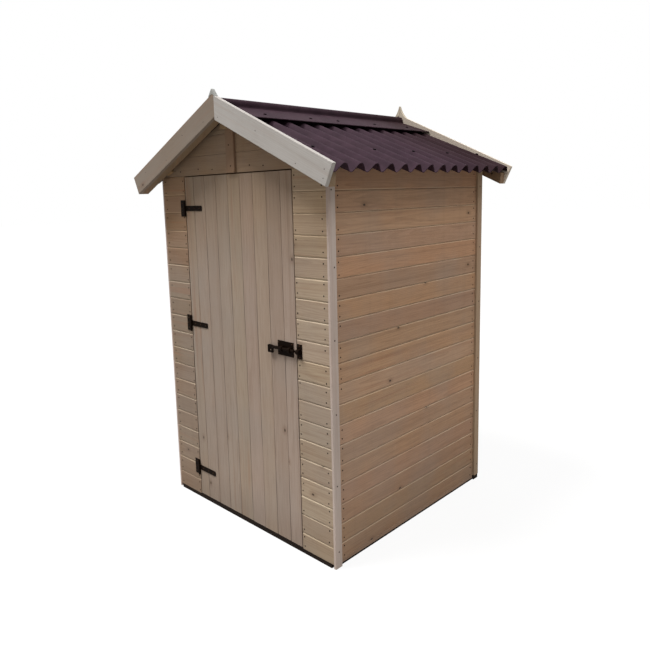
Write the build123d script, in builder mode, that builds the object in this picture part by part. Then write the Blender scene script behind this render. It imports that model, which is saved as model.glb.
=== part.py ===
from build123d import *
import os
from math import ceil, cos, radians, sin, tan

os.makedirs("parts", exist_ok=True)

# Walls
board_cover = 88
board_count = 19
first_board = 77
cladding = 12
wall_width = 1140
wall_depth = 1174
base_height = 20
side_foot = 8
bearer_width = 60
bearer_end_gap = 0.5
back_bearer_proud = 8
deck_thickness = 16
deck_set_back = 5
stud_depth = 28
stud_width = 44
strip_width = 42
strip_thickness = 12
strip_foot = 3
strip_rise = 6
strip_edge = 2
back_strip_lift = 4
gable_strip_width = 58
gable_strip_thickness = 12

# Roof
roof_angle = 22.6
eave_lift = 20
eave_overhang = 102
gable_overhang = 78
wave_length = 95
wave_first_share = 0.16
wave_flank_angle = 50
sheet_height = 38
sheet_thickness = 3
sheet_top_gap = 14
seat = 0.2
ridge_beam_width = 44
ridge_beam_depth = 60
purlin_width = 44
purlin_depth = 28
purlin_inset = 70
cap_angle = 19.5
cap_reach = 206
cap_roll = 26
cap_roll_rise = 29
cap_cove = 9
bargeboard_angle = 25.2
bargeboard_width = 94
bargeboard_thickness = 18
bargeboard_overhang = 127
bargeboard_proud = 40
bargeboard_edge = 2
ridge_joint = 14
rafter_thickness = 38
rafter_set_back = 34
front_finial_half = 24
front_finial_rise = 22
back_finial_half = 44
back_finial_rise = 50
back_finial_hollow = 6

# Door
front_strip_width = 185
door_thickness = 12
door_gap = 5
ledge_thickness = 20
ledge_width = 88
ledge_inset = 30
brace_width = 70

# T hinges
hinge_from_top = 152
hinge_from_foot = 146
middle_hinge_share = 0.5581
hinge_sheet = 2.5
hinge_plate_width = 38
hinge_plate_height = 80
knuckle_radius = 5
knuckle_lift = 5.5
knuckle_height = 26
knuckle_gap = 0.4
pin_radius = 2.4
pin_slack = 0.3
strap_tip = 25
strap_length = 136
strap_round = 4
strap_root_gap = 3

# Sliding bolt
bolt_height_share = 0.5435
bolt_plate_inset = 16
bolt_plate_width = 98
bolt_plate_height = 64
bolt_radius = 7
bolt_stand = 9
bolt_slack = 0.6
bolt_tip_inset = 2
bolt_length = 140
bolt_tip_chamfer = 2
saddle_wall = 3.5
saddle_width = 14
saddle_from_tip = 16
saddle_from_tail = 32
tail_length = 34
tail_drop = 28
tail_rise = 8
tail_thickness = 5
tail_round = 7
tail_hole = 5
tail_hole_drop = 16
keeper_width = 28
keeper_inset = 2
keeper_saddle_width = 16

# Levels and planes that follow from the sizes above
slope = tan(radians(roof_angle))
rise_share = cos(radians(roof_angle))
run_share = sin(radians(roof_angle))
board_slope = tan(radians(bargeboard_angle))
board_rise_share = cos(radians(bargeboard_angle))
board_run_share = sin(radians(bargeboard_angle))
wall_top = base_height + first_board + (board_count - 1) * board_cover
half_width = wall_width / 2
half_depth = wall_depth / 2
inner_half_width = half_width - cladding
inner_half_depth = half_depth - cladding
deck_top = base_height + deck_thickness
seat_ridge = wall_top + eave_lift + slope * half_width
crest_ridge = seat_ridge + sheet_height / rise_share
board_ridge = crest_ridge + bargeboard_proud
bargeboard_reach = half_width + bargeboard_overhang
board_end = board_ridge - board_slope * bargeboard_reach
board_under = board_ridge - bargeboard_width / board_rise_share
sheet_half = half_depth + gable_overhang
board_plane = sheet_half + seat
rafter_plane = board_plane - rafter_thickness
door_width = wall_width - 2 * (front_strip_width + door_gap)
half_door = door_width / 2
opening_half = half_width - front_strip_width
gable_foot = wall_top + door_gap
door_foot = base_height + door_gap
door_height = wall_top - door_foot
hinge_x = -half_door - door_gap / 2
hinge_y = -half_depth - knuckle_lift
top_hinge = wall_top - hinge_from_top
middle_hinge = door_foot + middle_hinge_share * door_height
bottom_hinge = door_foot + hinge_from_foot
bolt_y = -half_depth - hinge_sheet - bolt_stand
bolt_height = door_foot + bolt_height_share * door_height


# Height of the sheets' underside at a distance from the middle of the shed
def seat_at(out):
    return seat_ridge - slope * out


# Floor
with BuildPart() as floor_bearers:
    bearer_out = half_depth - bearer_width / 2
    with BuildSketch(Plane.XY):
        with Locations((0, -bearer_out), (0, 0), (0, bearer_out)):
            Rectangle(2 * (inner_half_width - bearer_end_gap), bearer_width)
        with Locations((0, half_depth - strip_width / 2)):
            Rectangle(wall_width + 2 * back_bearer_proud, strip_width)
    extrude(amount=base_height)
    lath_out = half_width - cladding / 2
    lath_length = inner_half_depth + half_depth - strip_width - bearer_end_gap
    lath_y = lath_length / 2 - inner_half_depth
    with BuildSketch(Plane.XY):
        with Locations((-lath_out, lath_y), (lath_out, lath_y)):
            Rectangle(cladding, lath_length)
    extrude(amount=side_foot - seat)
floor_bearers.part.label = "floor_bearers"
export_step(floor_bearers.part, "parts/floor_bearers.step")

with BuildPart() as floor_deck:
    deck_front = -inner_half_depth + deck_set_back
    deck_long = inner_half_depth - deck_front
    with BuildSketch(Plane.XY.offset(base_height)):
        with Locations((0, deck_front + deck_long / 2)):
            Rectangle(2 * inner_half_width, deck_long)
    extrude(amount=deck_thickness)
floor_deck.part.label = "floor_deck"
export_step(floor_deck.part, "parts/floor_deck.step")

# Front wall beside the doorway
with BuildPart() as front_wall_right:
    with BuildSketch(Plane.XZ.offset(inner_half_depth)):
        with Locations((opening_half + front_strip_width / 2, (base_height + gable_foot) / 2)):
            Rectangle(front_strip_width, gable_foot - base_height)
    extrude(amount=cladding)
front_wall_right.part.label = "front_wall_right"
export_step(front_wall_right.part, "parts/front_wall_right.step")

with BuildPart() as front_wall_left:
    mirror(front_wall_right.part, about=Plane.YZ)
front_wall_left.part.label = "front_wall_left"
export_step(front_wall_left.part, "parts/front_wall_left.step")

# Roof timbers, which pass through both gables
with BuildPart() as ridge_beam:
    half_beam = ridge_beam_width / 2
    with BuildSketch(Plane.XZ.offset(-rafter_plane)):
        with BuildLine():
            Polyline(
                (-half_beam, seat_ridge - ridge_beam_depth),
                (half_beam, seat_ridge - ridge_beam_depth),
                (half_beam, seat_at(half_beam) - seat),
                (0, seat_ridge - seat),
                (-half_beam, seat_at(half_beam) - seat),
                close=True,
            )
        make_face()
    extrude(amount=2 * rafter_plane)
ridge_beam.part.label = "ridge_beam"
export_step(ridge_beam.part, "parts/ridge_beam.step")

with BuildPart() as right_purlin:
    purlin_out = half_width - purlin_inset
    purlin_x = purlin_out - (purlin_depth / 2 + seat) * run_share
    purlin_z = seat_at(purlin_out) - (purlin_depth / 2 + seat) * rise_share
    with BuildSketch(Plane.XZ.offset(-rafter_plane)):
        with Locations((purlin_x, purlin_z)):
            Rectangle(purlin_width, purlin_depth, rotation=-roof_angle)
    extrude(amount=2 * rafter_plane)
right_purlin.part.label = "right_purlin"
export_step(right_purlin.part, "parts/right_purlin.step")

with BuildPart() as left_purlin:
    mirror(right_purlin.part, about=Plane.YZ)
left_purlin.part.label = "left_purlin"
export_step(left_purlin.part, "parts/left_purlin.step")

# Gable over the doorway, notched round the roof timbers
with BuildPart() as front_gable:
    with BuildSketch(Plane.XZ.offset(inner_half_depth)):
        with BuildLine():
            Polyline(
                (-half_width, gable_foot),
                (half_width, gable_foot),
                (half_width, seat_at(half_width) - seat),
                (0, seat_ridge - seat),
                (-half_width, seat_at(half_width) - seat),
                close=True,
            )
        make_face()
    extrude(amount=cladding)
    add(ridge_beam.part, mode=Mode.SUBTRACT)
    add(right_purlin.part, mode=Mode.SUBTRACT)
    add(left_purlin.part, mode=Mode.SUBTRACT)
front_gable.part.label = "front_gable"
export_step(front_gable.part, "parts/front_gable.step")

with BuildPart() as gable_strip:
    strip_top = seat_ridge - ridge_beam_depth
    with BuildSketch(Plane.XZ.offset(half_depth)):
        with Locations((0, (gable_foot + strip_top) / 2)):
            Rectangle(gable_strip_width, strip_top - gable_foot)
    extrude(amount=gable_strip_thickness)
    chamfer(gable_strip.faces().sort_by(Axis.Y)[0].edges(), length=strip_edge)
gable_strip.part.label = "gable_strip"
export_step(gable_strip.part, "parts/gable_strip.step")

# Back wall up to the ridge
with BuildPart() as back_wall:
    with BuildSketch(Plane.XZ.offset(-half_depth)):
        with BuildLine():
            Polyline(
                (-half_width, base_height),
                (half_width, base_height),
                (half_width, seat_at(half_width) - seat),
                (0, seat_ridge - seat),
                (-half_width, seat_at(half_width) - seat),
                close=True,
            )
        make_face()
    extrude(amount=cladding)
    add(ridge_beam.part, mode=Mode.SUBTRACT)
    add(right_purlin.part, mode=Mode.SUBTRACT)
    add(left_purlin.part, mode=Mode.SUBTRACT)
back_wall.part.label = "back_wall"
export_step(back_wall.part, "parts/back_wall.step")

# Side walls with tops bevelled to the roof
with BuildPart() as right_wall:
    with BuildSketch(Plane.XZ.offset(-inner_half_depth)):
        with BuildLine():
            Polyline(
                (inner_half_width, side_foot),
                (half_width, side_foot),
                (half_width, seat_at(half_width) - seat),
                (inner_half_width, seat_at(inner_half_width) - seat),
                close=True,
            )
        make_face()
    extrude(amount=2 * inner_half_depth)
    with Locations((half_width, half_depth, 0)):
        Box(2 * strip_width, 2 * strip_width, 2 * (base_height + back_strip_lift), mode=Mode.SUBTRACT)
right_wall.part.label = "right_wall"
export_step(right_wall.part, "parts/right_wall.step")

with BuildPart() as left_wall:
    mirror(right_wall.part, about=Plane.YZ)
left_wall.part.label = "left_wall"
export_step(left_wall.part, "parts/left_wall.step")

# Framing inside the walls: two posts and three rails between them for each wall
frame_height = wall_top - deck_top
frame_middle = (wall_top + deck_top) / 2
rail_out = (frame_height - stud_width) / 2
rail_heights = (frame_middle - rail_out, frame_middle, frame_middle + rail_out)

with BuildPart() as right_frame:
    side_post = inner_half_depth - stud_depth - stud_width / 2
    with BuildSketch(Plane.YZ.offset(inner_half_width - stud_depth)):
        with Locations((-side_post, frame_middle), (side_post, frame_middle)):
            Rectangle(stud_width, frame_height)
        with Locations(*[(0, height) for height in rail_heights]):
            Rectangle(2 * (side_post - seat) - stud_width, stud_width)
    extrude(amount=stud_depth)
right_frame.part.label = "right_frame"
export_step(right_frame.part, "parts/right_frame.step")

with BuildPart() as left_frame:
    mirror(right_frame.part, about=Plane.YZ)
left_frame.part.label = "left_frame"
export_step(left_frame.part, "parts/left_frame.step")

with BuildPart() as back_frame:
    back_post = inner_half_width - stud_width / 2
    with BuildSketch(Plane.XZ.offset(-inner_half_depth)):
        with Locations((-back_post, frame_middle), (back_post, frame_middle)):
            Rectangle(stud_width, frame_height)
        with Locations(*[(0, height) for height in rail_heights]):
            Rectangle(2 * (back_post - seat) - stud_width, stud_width)
    extrude(amount=stud_depth)
back_frame.part.label = "back_frame"
export_step(back_frame.part, "parts/back_frame.step")

with BuildPart() as front_frame_right:
    jamb = opening_half + stud_width / 2
    jamb_middle = (gable_foot + deck_top) / 2
    with BuildSketch(Plane.XZ.offset(inner_half_depth - stud_depth)):
        with Locations((jamb, jamb_middle), (back_post, jamb_middle)):
            Rectangle(stud_width, gable_foot - deck_top)
        with Locations(*[((jamb + back_post) / 2, height) for height in rail_heights]):
            Rectangle(back_post - jamb - stud_width - 2 * seat, stud_width)
    extrude(amount=stud_depth)
front_frame_right.part.label = "front_frame_right"
export_step(front_frame_right.part, "parts/front_frame_right.step")

with BuildPart() as front_frame_left:
    mirror(front_frame_right.part, about=Plane.YZ)
front_frame_left.part.label = "front_frame_left"
export_step(front_frame_left.part, "parts/front_frame_left.step")

with BuildPart() as door_head:
    with BuildSketch(Plane.XZ.offset(inner_half_depth - stud_depth)):
        with Locations((0, gable_foot + stud_width / 2)):
            Rectangle(2 * (opening_half + stud_width), stud_width)
    extrude(amount=stud_depth)
door_head.part.label = "door_head"
export_step(door_head.part, "parts/door_head.step")

# Cover strips over the corners
with BuildPart() as corner_strip_front_right:
    with BuildSketch(Plane.XY.offset(strip_foot)):
        with Locations((half_width + strip_thickness / 2, -half_depth + strip_width / 2)):
            Rectangle(strip_thickness, strip_width)
    extrude(amount=wall_top + strip_rise - strip_foot)
    chamfer(corner_strip_front_right.faces().sort_by(Axis.X)[-1].edges().filter_by(Axis.Z), length=strip_edge)
corner_strip_front_right.part.label = "corner_strip_front_right"
export_step(corner_strip_front_right.part, "parts/corner_strip_front_right.step")

with BuildPart() as corner_strip_front_left:
    mirror(corner_strip_front_right.part, about=Plane.YZ)
corner_strip_front_left.part.label = "corner_strip_front_left"
export_step(corner_strip_front_left.part, "parts/corner_strip_front_left.step")

with BuildPart() as corner_strip_back_right:
    mirror(corner_strip_front_right.part, about=Plane.XZ)
    with Locations((half_width, half_depth, 0)):
        Box(2 * strip_width, 2 * strip_width, 2 * (base_height + back_strip_lift), mode=Mode.SUBTRACT)
corner_strip_back_right.part.label = "corner_strip_back_right"
export_step(corner_strip_back_right.part, "parts/corner_strip_back_right.step")

with BuildPart() as corner_strip_back_left:
    mirror(corner_strip_back_right.part, about=Plane.YZ)
corner_strip_back_left.part.label = "corner_strip_back_left"
export_step(corner_strip_back_left.part, "parts/corner_strip_back_left.step")

# Corrugated sheets: rounded waves side by side across the shed's depth, run down the slope
half_wave = wave_length / 2
flank_slope = tan(radians(wave_flank_angle))
flank_share = cos(radians(wave_flank_angle))
wave_rise = sheet_height - sheet_thickness
wave_round = (half_wave * flank_slope - wave_rise) / (2 / flank_share - 2)
wave_peak = half_wave * flank_slope / 2
first_wave = -sheet_half - (1 - wave_first_share) * wave_length
turns = 2 * ceil(2 * sheet_half / wave_length) + 4
zigzag = [(first_wave + turn * half_wave, wave_rise / 2 - (-1) ** turn * wave_peak) for turn in range(turns)]

with BuildPart() as right_roof_sheet:
    roof_plane = Plane(
        origin=(sheet_top_gap, 0, seat_at(sheet_top_gap)), x_dir=(0, 1, 0), z_dir=(rise_share, 0, -run_share)
    )
    with BuildSketch(roof_plane):
        with BuildLine():
            FilletPolyline(*zigzag, radius=wave_round)
            offset(amount=sheet_thickness, side=Side.LEFT, closed=True)
        make_face()
        Rectangle(2 * sheet_half, 2 * wave_length, mode=Mode.INTERSECT)
    extrude(amount=(half_width + eave_overhang - sheet_top_gap) / rise_share)
right_roof_sheet.part.label = "right_roof_sheet"
export_step(right_roof_sheet.part, "parts/right_roof_sheet.step")

with BuildPart() as left_roof_sheet:
    mirror(right_roof_sheet.part, about=Plane.YZ)
left_roof_sheet.part.label = "left_roof_sheet"
export_step(left_roof_sheet.part, "parts/left_roof_sheet.step")

# Ridge cap: a round roll between two flanges that lie on the sheets' top ends
cap_slope = tan(radians(cap_angle))
cap_rise_share = cos(radians(cap_angle))
cap_rest = sheet_top_gap + sheet_height * run_share
cap_peak = crest_ridge - slope * cap_rest + cap_slope * cap_rest + seat
cap_edge = cap_peak - cap_slope * cap_reach
cap_skin = sheet_thickness / cap_rise_share

with BuildPart() as ridge_cap:
    with BuildSketch(Plane.XZ.offset(-sheet_half)) as cap_profile:
        roll_centre = crest_ridge + cap_roll_rise - cap_roll
        with BuildLine():
            Polyline(
                (-cap_reach, cap_edge),
                (0, cap_peak),
                (cap_reach, cap_edge),
                (cap_reach, cap_edge + cap_skin),
                (0, cap_peak + cap_skin),
                (-cap_reach, cap_edge + cap_skin),
                close=True,
            )
        make_face()
        with Locations((0, roll_centre)):
            Circle(cap_roll)
            Circle(cap_roll - sheet_thickness, mode=Mode.SUBTRACT)
        with BuildLine():
            Polyline(
                (-cap_reach, cap_edge),
                (0, cap_peak),
                (cap_reach, cap_edge),
                (0, cap_edge - cap_reach),
                close=True,
            )
        make_face(mode=Mode.SUBTRACT)
        roll_sides = cap_profile.vertices().filter_by_position(Axis.X, -cap_reach, cap_reach, inclusive=(False, False))
        fillet(roll_sides.group_by(Axis.Y)[-1], radius=cap_cove)
    extrude(amount=2 * sheet_half)
ridge_cap.part.label = "ridge_cap"
export_step(ridge_cap.part, "parts/ridge_cap.step")

# Rafters behind the bargeboards, a pair at each end, under the ends of the sheets
with BuildPart() as front_rafters:
    rafter_reach = bargeboard_reach - rafter_set_back
    rafter_low = bargeboard_reach - bargeboard_width * board_run_share
    with BuildSketch(Plane.XZ.offset(rafter_plane)):
        with BuildLine():
            Polyline(
                (seat, seat_at(seat) - seat),
                (rafter_reach, seat_at(rafter_reach) - seat),
                (rafter_low, board_under - board_slope * rafter_low),
                (seat, board_under - board_slope * seat),
                close=True,
            )
        make_face()
    extrude(amount=rafter_thickness)
    mirror(about=Plane.YZ)
front_rafters.part.label = "front_rafters"
export_step(front_rafters.part, "parts/front_rafters.step")

with BuildPart() as back_rafters:
    mirror(front_rafters.part, about=Plane.XZ)
back_rafters.part.label = "back_rafters"
export_step(back_rafters.part, "parts/back_rafters.step")

# Bargeboards, cut square at the eaves: at the front the left one runs past the ridge, at the back they are mitred
board_low = bargeboard_reach - bargeboard_width * board_run_share
board_low_end = board_end - bargeboard_width * board_rise_share

with BuildPart() as bargeboard_front_right:
    with BuildSketch(Plane.XZ.offset(board_plane)):
        with BuildLine():
            Polyline(
                (ridge_joint, board_ridge - board_slope * ridge_joint),
                (bargeboard_reach, board_end),
                (board_low, board_low_end),
                (ridge_joint, board_under - board_slope * ridge_joint),
                close=True,
            )
        make_face()
    extrude(amount=bargeboard_thickness)
    front_edges = bargeboard_front_right.faces().sort_by(Axis.Y)[0].edges()
    chamfer(front_edges.sort_by(Axis.X)[1:], length=bargeboard_edge)
bargeboard_front_right.part.label = "bargeboard_front_right"
export_step(bargeboard_front_right.part, "parts/bargeboard_front_right.step")

with BuildPart() as bargeboard_front_left:
    joint_side = ridge_joint - seat
    with BuildSketch(Plane.XZ.offset(board_plane)):
        with BuildLine():
            Polyline(
                (joint_side, board_ridge - board_slope * joint_side),
                (0, board_ridge),
                (-bargeboard_reach, board_end),
                (-board_low, board_low_end),
                (joint_side, board_under + board_slope * joint_side),
                close=True,
            )
        make_face()
    extrude(amount=bargeboard_thickness)
    front_edges = bargeboard_front_left.faces().sort_by(Axis.Y)[0].edges()
    chamfer(front_edges.sort_by(Axis.X)[:3], length=bargeboard_edge)
bargeboard_front_left.part.label = "bargeboard_front_left"
export_step(bargeboard_front_left.part, "parts/bargeboard_front_left.step")

with BuildPart() as bargeboard_back_right:
    with BuildSketch(Plane.XZ.offset(-board_plane)):
        with BuildLine():
            Polyline(
                (0, board_ridge),
                (bargeboard_reach, board_end),
                (board_low, board_low_end),
                (0, board_under),
                close=True,
            )
        make_face()
    extrude(amount=-bargeboard_thickness)
    back_edges = bargeboard_back_right.faces().sort_by(Axis.Y)[-1].edges()
    chamfer(back_edges.sort_by(Axis.X)[1:], length=bargeboard_edge)
bargeboard_back_right.part.label = "bargeboard_back_right"
export_step(bargeboard_back_right.part, "parts/bargeboard_back_right.step")

with BuildPart() as bargeboard_back_left:
    mirror(bargeboard_back_right.part, about=Plane.YZ)
bargeboard_back_left.part.label = "bargeboard_back_left"
export_step(bargeboard_back_left.part, "parts/bargeboard_back_left.step")

# Pointed finials astride the ridge: a small one at the front, a taller one with hollow sides at the back
with BuildPart() as front_finial:
    finial_foot = board_ridge - board_slope * front_finial_half + seat
    with BuildSketch(Plane.XZ.offset(board_plane)):
        with BuildLine():
            Polyline(
                (-front_finial_half, finial_foot),
                (0, board_ridge + seat),
                (front_finial_half, finial_foot),
                (0, board_ridge + front_finial_rise),
                close=True,
            )
        make_face()
    extrude(amount=bargeboard_thickness)
front_finial.part.label = "front_finial"
export_step(front_finial.part, "parts/front_finial.step")

with BuildPart() as back_finial:
    finial_foot = board_ridge - board_slope * back_finial_half + seat
    finial_tip = board_ridge + back_finial_rise
    with BuildSketch(Plane.XZ.offset(-board_plane)):
        with BuildLine():
            Polyline((-back_finial_half, finial_foot), (0, board_ridge + seat), (back_finial_half, finial_foot))
            SagittaArc((back_finial_half, finial_foot), (0, finial_tip), back_finial_hollow)
            SagittaArc((0, finial_tip), (-back_finial_half, finial_foot), back_finial_hollow)
        make_face()
    extrude(amount=-bargeboard_thickness)
back_finial.part.label = "back_finial"
export_step(back_finial.part, "parts/back_finial.step")

# Door
with BuildPart() as door_boards:
    with BuildSketch(Plane.XZ.offset(half_depth - door_thickness)):
        with Locations((0, (door_foot + wall_top) / 2)):
            Rectangle(door_width, door_height)
    extrude(amount=door_thickness)
door_boards.part.label = "door_boards"
export_step(door_boards.part, "parts/door_boards.step")

with BuildPart() as door_ledges:
    ledge_length = door_width - 2 * ledge_inset
    ledge_heights = (bottom_hinge, middle_hinge, top_hinge)
    brace_half = (ledge_length - brace_width) / 2
    with BuildSketch(Plane.XZ.offset(half_depth - door_thickness - ledge_thickness)):
        with Locations(*[(0, height) for height in ledge_heights]):
            Rectangle(ledge_length, ledge_width)
        for lower, upper in zip(ledge_heights, ledge_heights[1:]):
            brace_foot = lower + ledge_width / 2 + seat
            brace_head = upper - ledge_width / 2 - seat
            with BuildLine():
                Polyline(
                    (-brace_half - brace_width / 2, brace_foot),
                    (-brace_half + brace_width / 2, brace_foot),
                    (brace_half + brace_width / 2, brace_head),
                    (brace_half - brace_width / 2, brace_head),
                    close=True,
                )
            make_face()
    extrude(amount=ledge_thickness)
door_ledges.part.label = "door_ledges"
export_step(door_ledges.part, "parts/door_ledges.step")

# T hinges: a plate with the pin on the wall, a tapered strap on the door
with BuildPart() as hinge_plate_top:
    with BuildSketch(Plane.XZ.offset(half_depth)):
        with Locations((hinge_x - hinge_plate_width / 2, top_hinge)):
            Rectangle(hinge_plate_width, hinge_plate_height)
    extrude(amount=hinge_sheet)
    knuckle_cut = knuckle_height + 2 * knuckle_gap
    with BuildSketch(Plane.XY.offset(top_hinge - hinge_plate_height / 2)):
        with Locations((hinge_x, hinge_y)):
            Circle(knuckle_radius)
    extrude(amount=hinge_plate_height)
    with Locations((hinge_x, hinge_y, top_hinge)):
        Box(4 * knuckle_radius, 4 * knuckle_radius, knuckle_cut, mode=Mode.SUBTRACT)
    with BuildSketch(Plane.XY.offset(top_hinge - hinge_plate_height / 2)):
        with Locations((hinge_x, hinge_y)):
            Circle(pin_radius)
    extrude(amount=hinge_plate_height)
hinge_plate_top.part.label = "hinge_plate_top"
export_step(hinge_plate_top.part, "parts/hinge_plate_top.step")

with BuildPart() as hinge_plate_middle:
    with Locations((0, 0, middle_hinge - top_hinge)):
        add(hinge_plate_top.part)
hinge_plate_middle.part.label = "hinge_plate_middle"
export_step(hinge_plate_middle.part, "parts/hinge_plate_middle.step")

with BuildPart() as hinge_plate_bottom:
    with Locations((0, 0, bottom_hinge - top_hinge)):
        add(hinge_plate_top.part)
hinge_plate_bottom.part.label = "hinge_plate_bottom"
export_step(hinge_plate_bottom.part, "parts/hinge_plate_bottom.step")

with BuildPart() as hinge_strap_top:
    strap_end = hinge_x + strap_length
    with BuildSketch(Plane.XZ.offset(half_depth)) as strap_face:
        with BuildLine():
            Polyline(
                (hinge_x + strap_root_gap, top_hinge - knuckle_height / 2),
                (strap_end, top_hinge - strap_tip / 2),
                (strap_end, top_hinge + strap_tip / 2),
                (hinge_x + strap_root_gap, top_hinge + knuckle_height / 2),
                close=True,
            )
        make_face()
        fillet(strap_face.vertices().group_by(Axis.X)[-1], radius=strap_round)
    extrude(amount=hinge_sheet)
    with BuildSketch(Plane.XY.offset(top_hinge - knuckle_height / 2)):
        with Locations((hinge_x, hinge_y)):
            Circle(knuckle_radius)
    extrude(amount=knuckle_height)
    with BuildSketch(Plane.XY.offset(top_hinge - knuckle_height / 2)):
        with Locations((hinge_x, hinge_y)):
            Circle(pin_radius + pin_slack)
    extrude(amount=knuckle_height, mode=Mode.SUBTRACT)
hinge_strap_top.part.label = "hinge_strap_top"
export_step(hinge_strap_top.part, "parts/hinge_strap_top.step")

with BuildPart() as hinge_strap_middle:
    with Locations((0, 0, middle_hinge - top_hinge)):
        add(hinge_strap_top.part)
hinge_strap_middle.part.label = "hinge_strap_middle"
export_step(hinge_strap_middle.part, "parts/hinge_strap_middle.step")

with BuildPart() as hinge_strap_bottom:
    with Locations((0, 0, bottom_hinge - top_hinge)):
        add(hinge_strap_top.part)
hinge_strap_bottom.part.label = "hinge_strap_bottom"
export_step(hinge_strap_bottom.part, "parts/hinge_strap_bottom.step")

# Sliding bolt: plate with two saddles on the door, keeper on the jamb
saddle_reach = bolt_radius + bolt_slack + saddle_wall
bolt_plate_left = half_door - bolt_plate_inset - bolt_plate_width

with BuildPart() as bolt_plate:
    with BuildSketch(Plane.XZ.offset(half_depth)):
        with Locations((bolt_plate_left + bolt_plate_width / 2, bolt_height)):
            Rectangle(bolt_plate_width, bolt_plate_height)
    extrude(amount=hinge_sheet)
    saddle_places = (bolt_plate_left + saddle_from_tail, bolt_plate_left + bolt_plate_width - saddle_from_tip)
    for place in saddle_places:
        with BuildSketch(Plane.YZ.offset(place - saddle_width / 2)):
            with Locations((bolt_y, bolt_height)):
                Circle(saddle_reach)
            with Locations((bolt_y + bolt_stand / 2, bolt_height)):
                Rectangle(bolt_stand, 2 * saddle_reach)
            with Locations((bolt_y, bolt_height)):
                Circle(bolt_radius + bolt_slack, mode=Mode.SUBTRACT)
        extrude(amount=saddle_width)
bolt_plate.part.label = "bolt_plate"
export_step(bolt_plate.part, "parts/bolt_plate.step")

with BuildPart() as bolt_keeper:
    keeper_left = opening_half + keeper_inset
    with BuildSketch(Plane.XZ.offset(half_depth)):
        with Locations((keeper_left + keeper_width / 2, bolt_height)):
            Rectangle(keeper_width, bolt_plate_height)
    extrude(amount=hinge_sheet)
    with BuildSketch(Plane.YZ.offset(keeper_left + (keeper_width - keeper_saddle_width) / 2)):
        with Locations((bolt_y, bolt_height)):
            Circle(saddle_reach)
        with Locations((bolt_y + bolt_stand / 2, bolt_height)):
            Rectangle(bolt_stand, 2 * saddle_reach)
        with Locations((bolt_y, bolt_height)):
            Circle(bolt_radius + bolt_slack, mode=Mode.SUBTRACT)
    extrude(amount=keeper_saddle_width)
bolt_keeper.part.label = "bolt_keeper"
export_step(bolt_keeper.part, "parts/bolt_keeper.step")

with BuildPart() as bolt_rod:
    bolt_tail = half_door - bolt_tip_inset - bolt_length
    tail_x = bolt_tail - tail_length / 2 + bolt_radius
    with BuildSketch(Plane.YZ.offset(bolt_tail)):
        with Locations((bolt_y, bolt_height)):
            Circle(bolt_radius)
    extrude(amount=bolt_length)
    chamfer(bolt_rod.faces().sort_by(Axis.X)[-1].edges(), length=bolt_tip_chamfer)
    with BuildSketch(Plane.XZ.offset(-bolt_y - tail_thickness / 2)) as tail_face:
        with Locations((tail_x, bolt_height + (tail_rise - tail_drop) / 2)):
            Rectangle(tail_length, tail_rise + tail_drop)
        fillet(tail_face.vertices(), radius=tail_round)
        with Locations((tail_x, bolt_height - tail_hole_drop)):
            Circle(tail_hole, mode=Mode.SUBTRACT)
    extrude(amount=tail_thickness)
bolt_rod.part.label = "bolt_rod"
export_step(bolt_rod.part, "parts/bolt_rod.step")
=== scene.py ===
"""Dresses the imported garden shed: boards, corrugated roof, nails, finishes, light and camera."""
from functools import partial
from math import cos, pi, radians, sin, tan

import bmesh
import bpy
import numpy as np
from bpy.props import FloatProperty, FloatVectorProperty, IntProperty, PointerProperty
from mathutils import Euler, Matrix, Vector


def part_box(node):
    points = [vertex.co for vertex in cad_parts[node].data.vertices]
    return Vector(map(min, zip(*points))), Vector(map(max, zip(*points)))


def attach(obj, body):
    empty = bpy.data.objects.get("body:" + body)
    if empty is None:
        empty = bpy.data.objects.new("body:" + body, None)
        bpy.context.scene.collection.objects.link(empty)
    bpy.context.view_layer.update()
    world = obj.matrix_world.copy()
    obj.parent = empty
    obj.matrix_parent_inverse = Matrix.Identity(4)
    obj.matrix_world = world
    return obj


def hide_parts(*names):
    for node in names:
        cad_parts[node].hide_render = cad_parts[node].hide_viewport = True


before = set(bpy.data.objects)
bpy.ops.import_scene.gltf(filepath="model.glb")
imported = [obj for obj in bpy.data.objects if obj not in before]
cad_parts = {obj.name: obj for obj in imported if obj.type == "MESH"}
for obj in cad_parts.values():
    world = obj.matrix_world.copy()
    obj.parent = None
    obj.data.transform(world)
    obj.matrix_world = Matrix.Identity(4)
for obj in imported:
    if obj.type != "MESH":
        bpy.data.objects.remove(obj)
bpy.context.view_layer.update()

bl_info = {
    "name": "Garden Shed Dressing",
    "version": (1, 0, 0),
    "blender": (4, 5, 0),
    "location": "View3D > Sidebar > Shed",
    "description": "Boards, roof sheets, nails and finishes for a boarded garden shed",
    "category": "Object",
}

X_AXIS, Y_AXIS, Z_AXIS = np.eye(3)

# Tones that are the same in every material, linear and with alpha.
WHITE = (1.0, 1.0, 1.0, 1.0)
HEARTWOOD = (0.29, 0.14, 0.078, 1.0)
# Painted highlight on the bevels of the board joints.
BEVEL_HIGHLIGHT = (0.62, 0.52, 0.38, 1.0)
JOINT_SOIL = (0.035, 0.02, 0.013, 1.0)
JOINT_GAP = (0.012, 0.008, 0.006, 1.0)
GREYED_WOOD = (0.27, 0.245, 0.225, 1.0)
SPLASHED_DIRT = (0.075, 0.055, 0.04, 1.0)
EARTH = (0.12, 0.085, 0.06, 1.0)
# Painted shade for the back end of the roof sheets.
SHEET_BACK_SHADE = (0.014, 0.0045, 0.005, 1.0)

# Numbers of stations along the surfaces and of points round them.
BOARD_STATIONS, SHEET_STATIONS, CAP_STATIONS = 9, 9, 15
SHEET_WAVES, WAVE_STEPS = 14, 22
ROLL_POINTS, COVE_POINTS, FLANGE_POINTS = 13, 8, 8
HEAD_SIDES = 10

# Largest turn between two faces that are shaded as one.
SHEET_SMOOTH, CAP_SMOOTH, HEAD_SMOOTH = radians(38), radians(30), radians(50)

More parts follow.
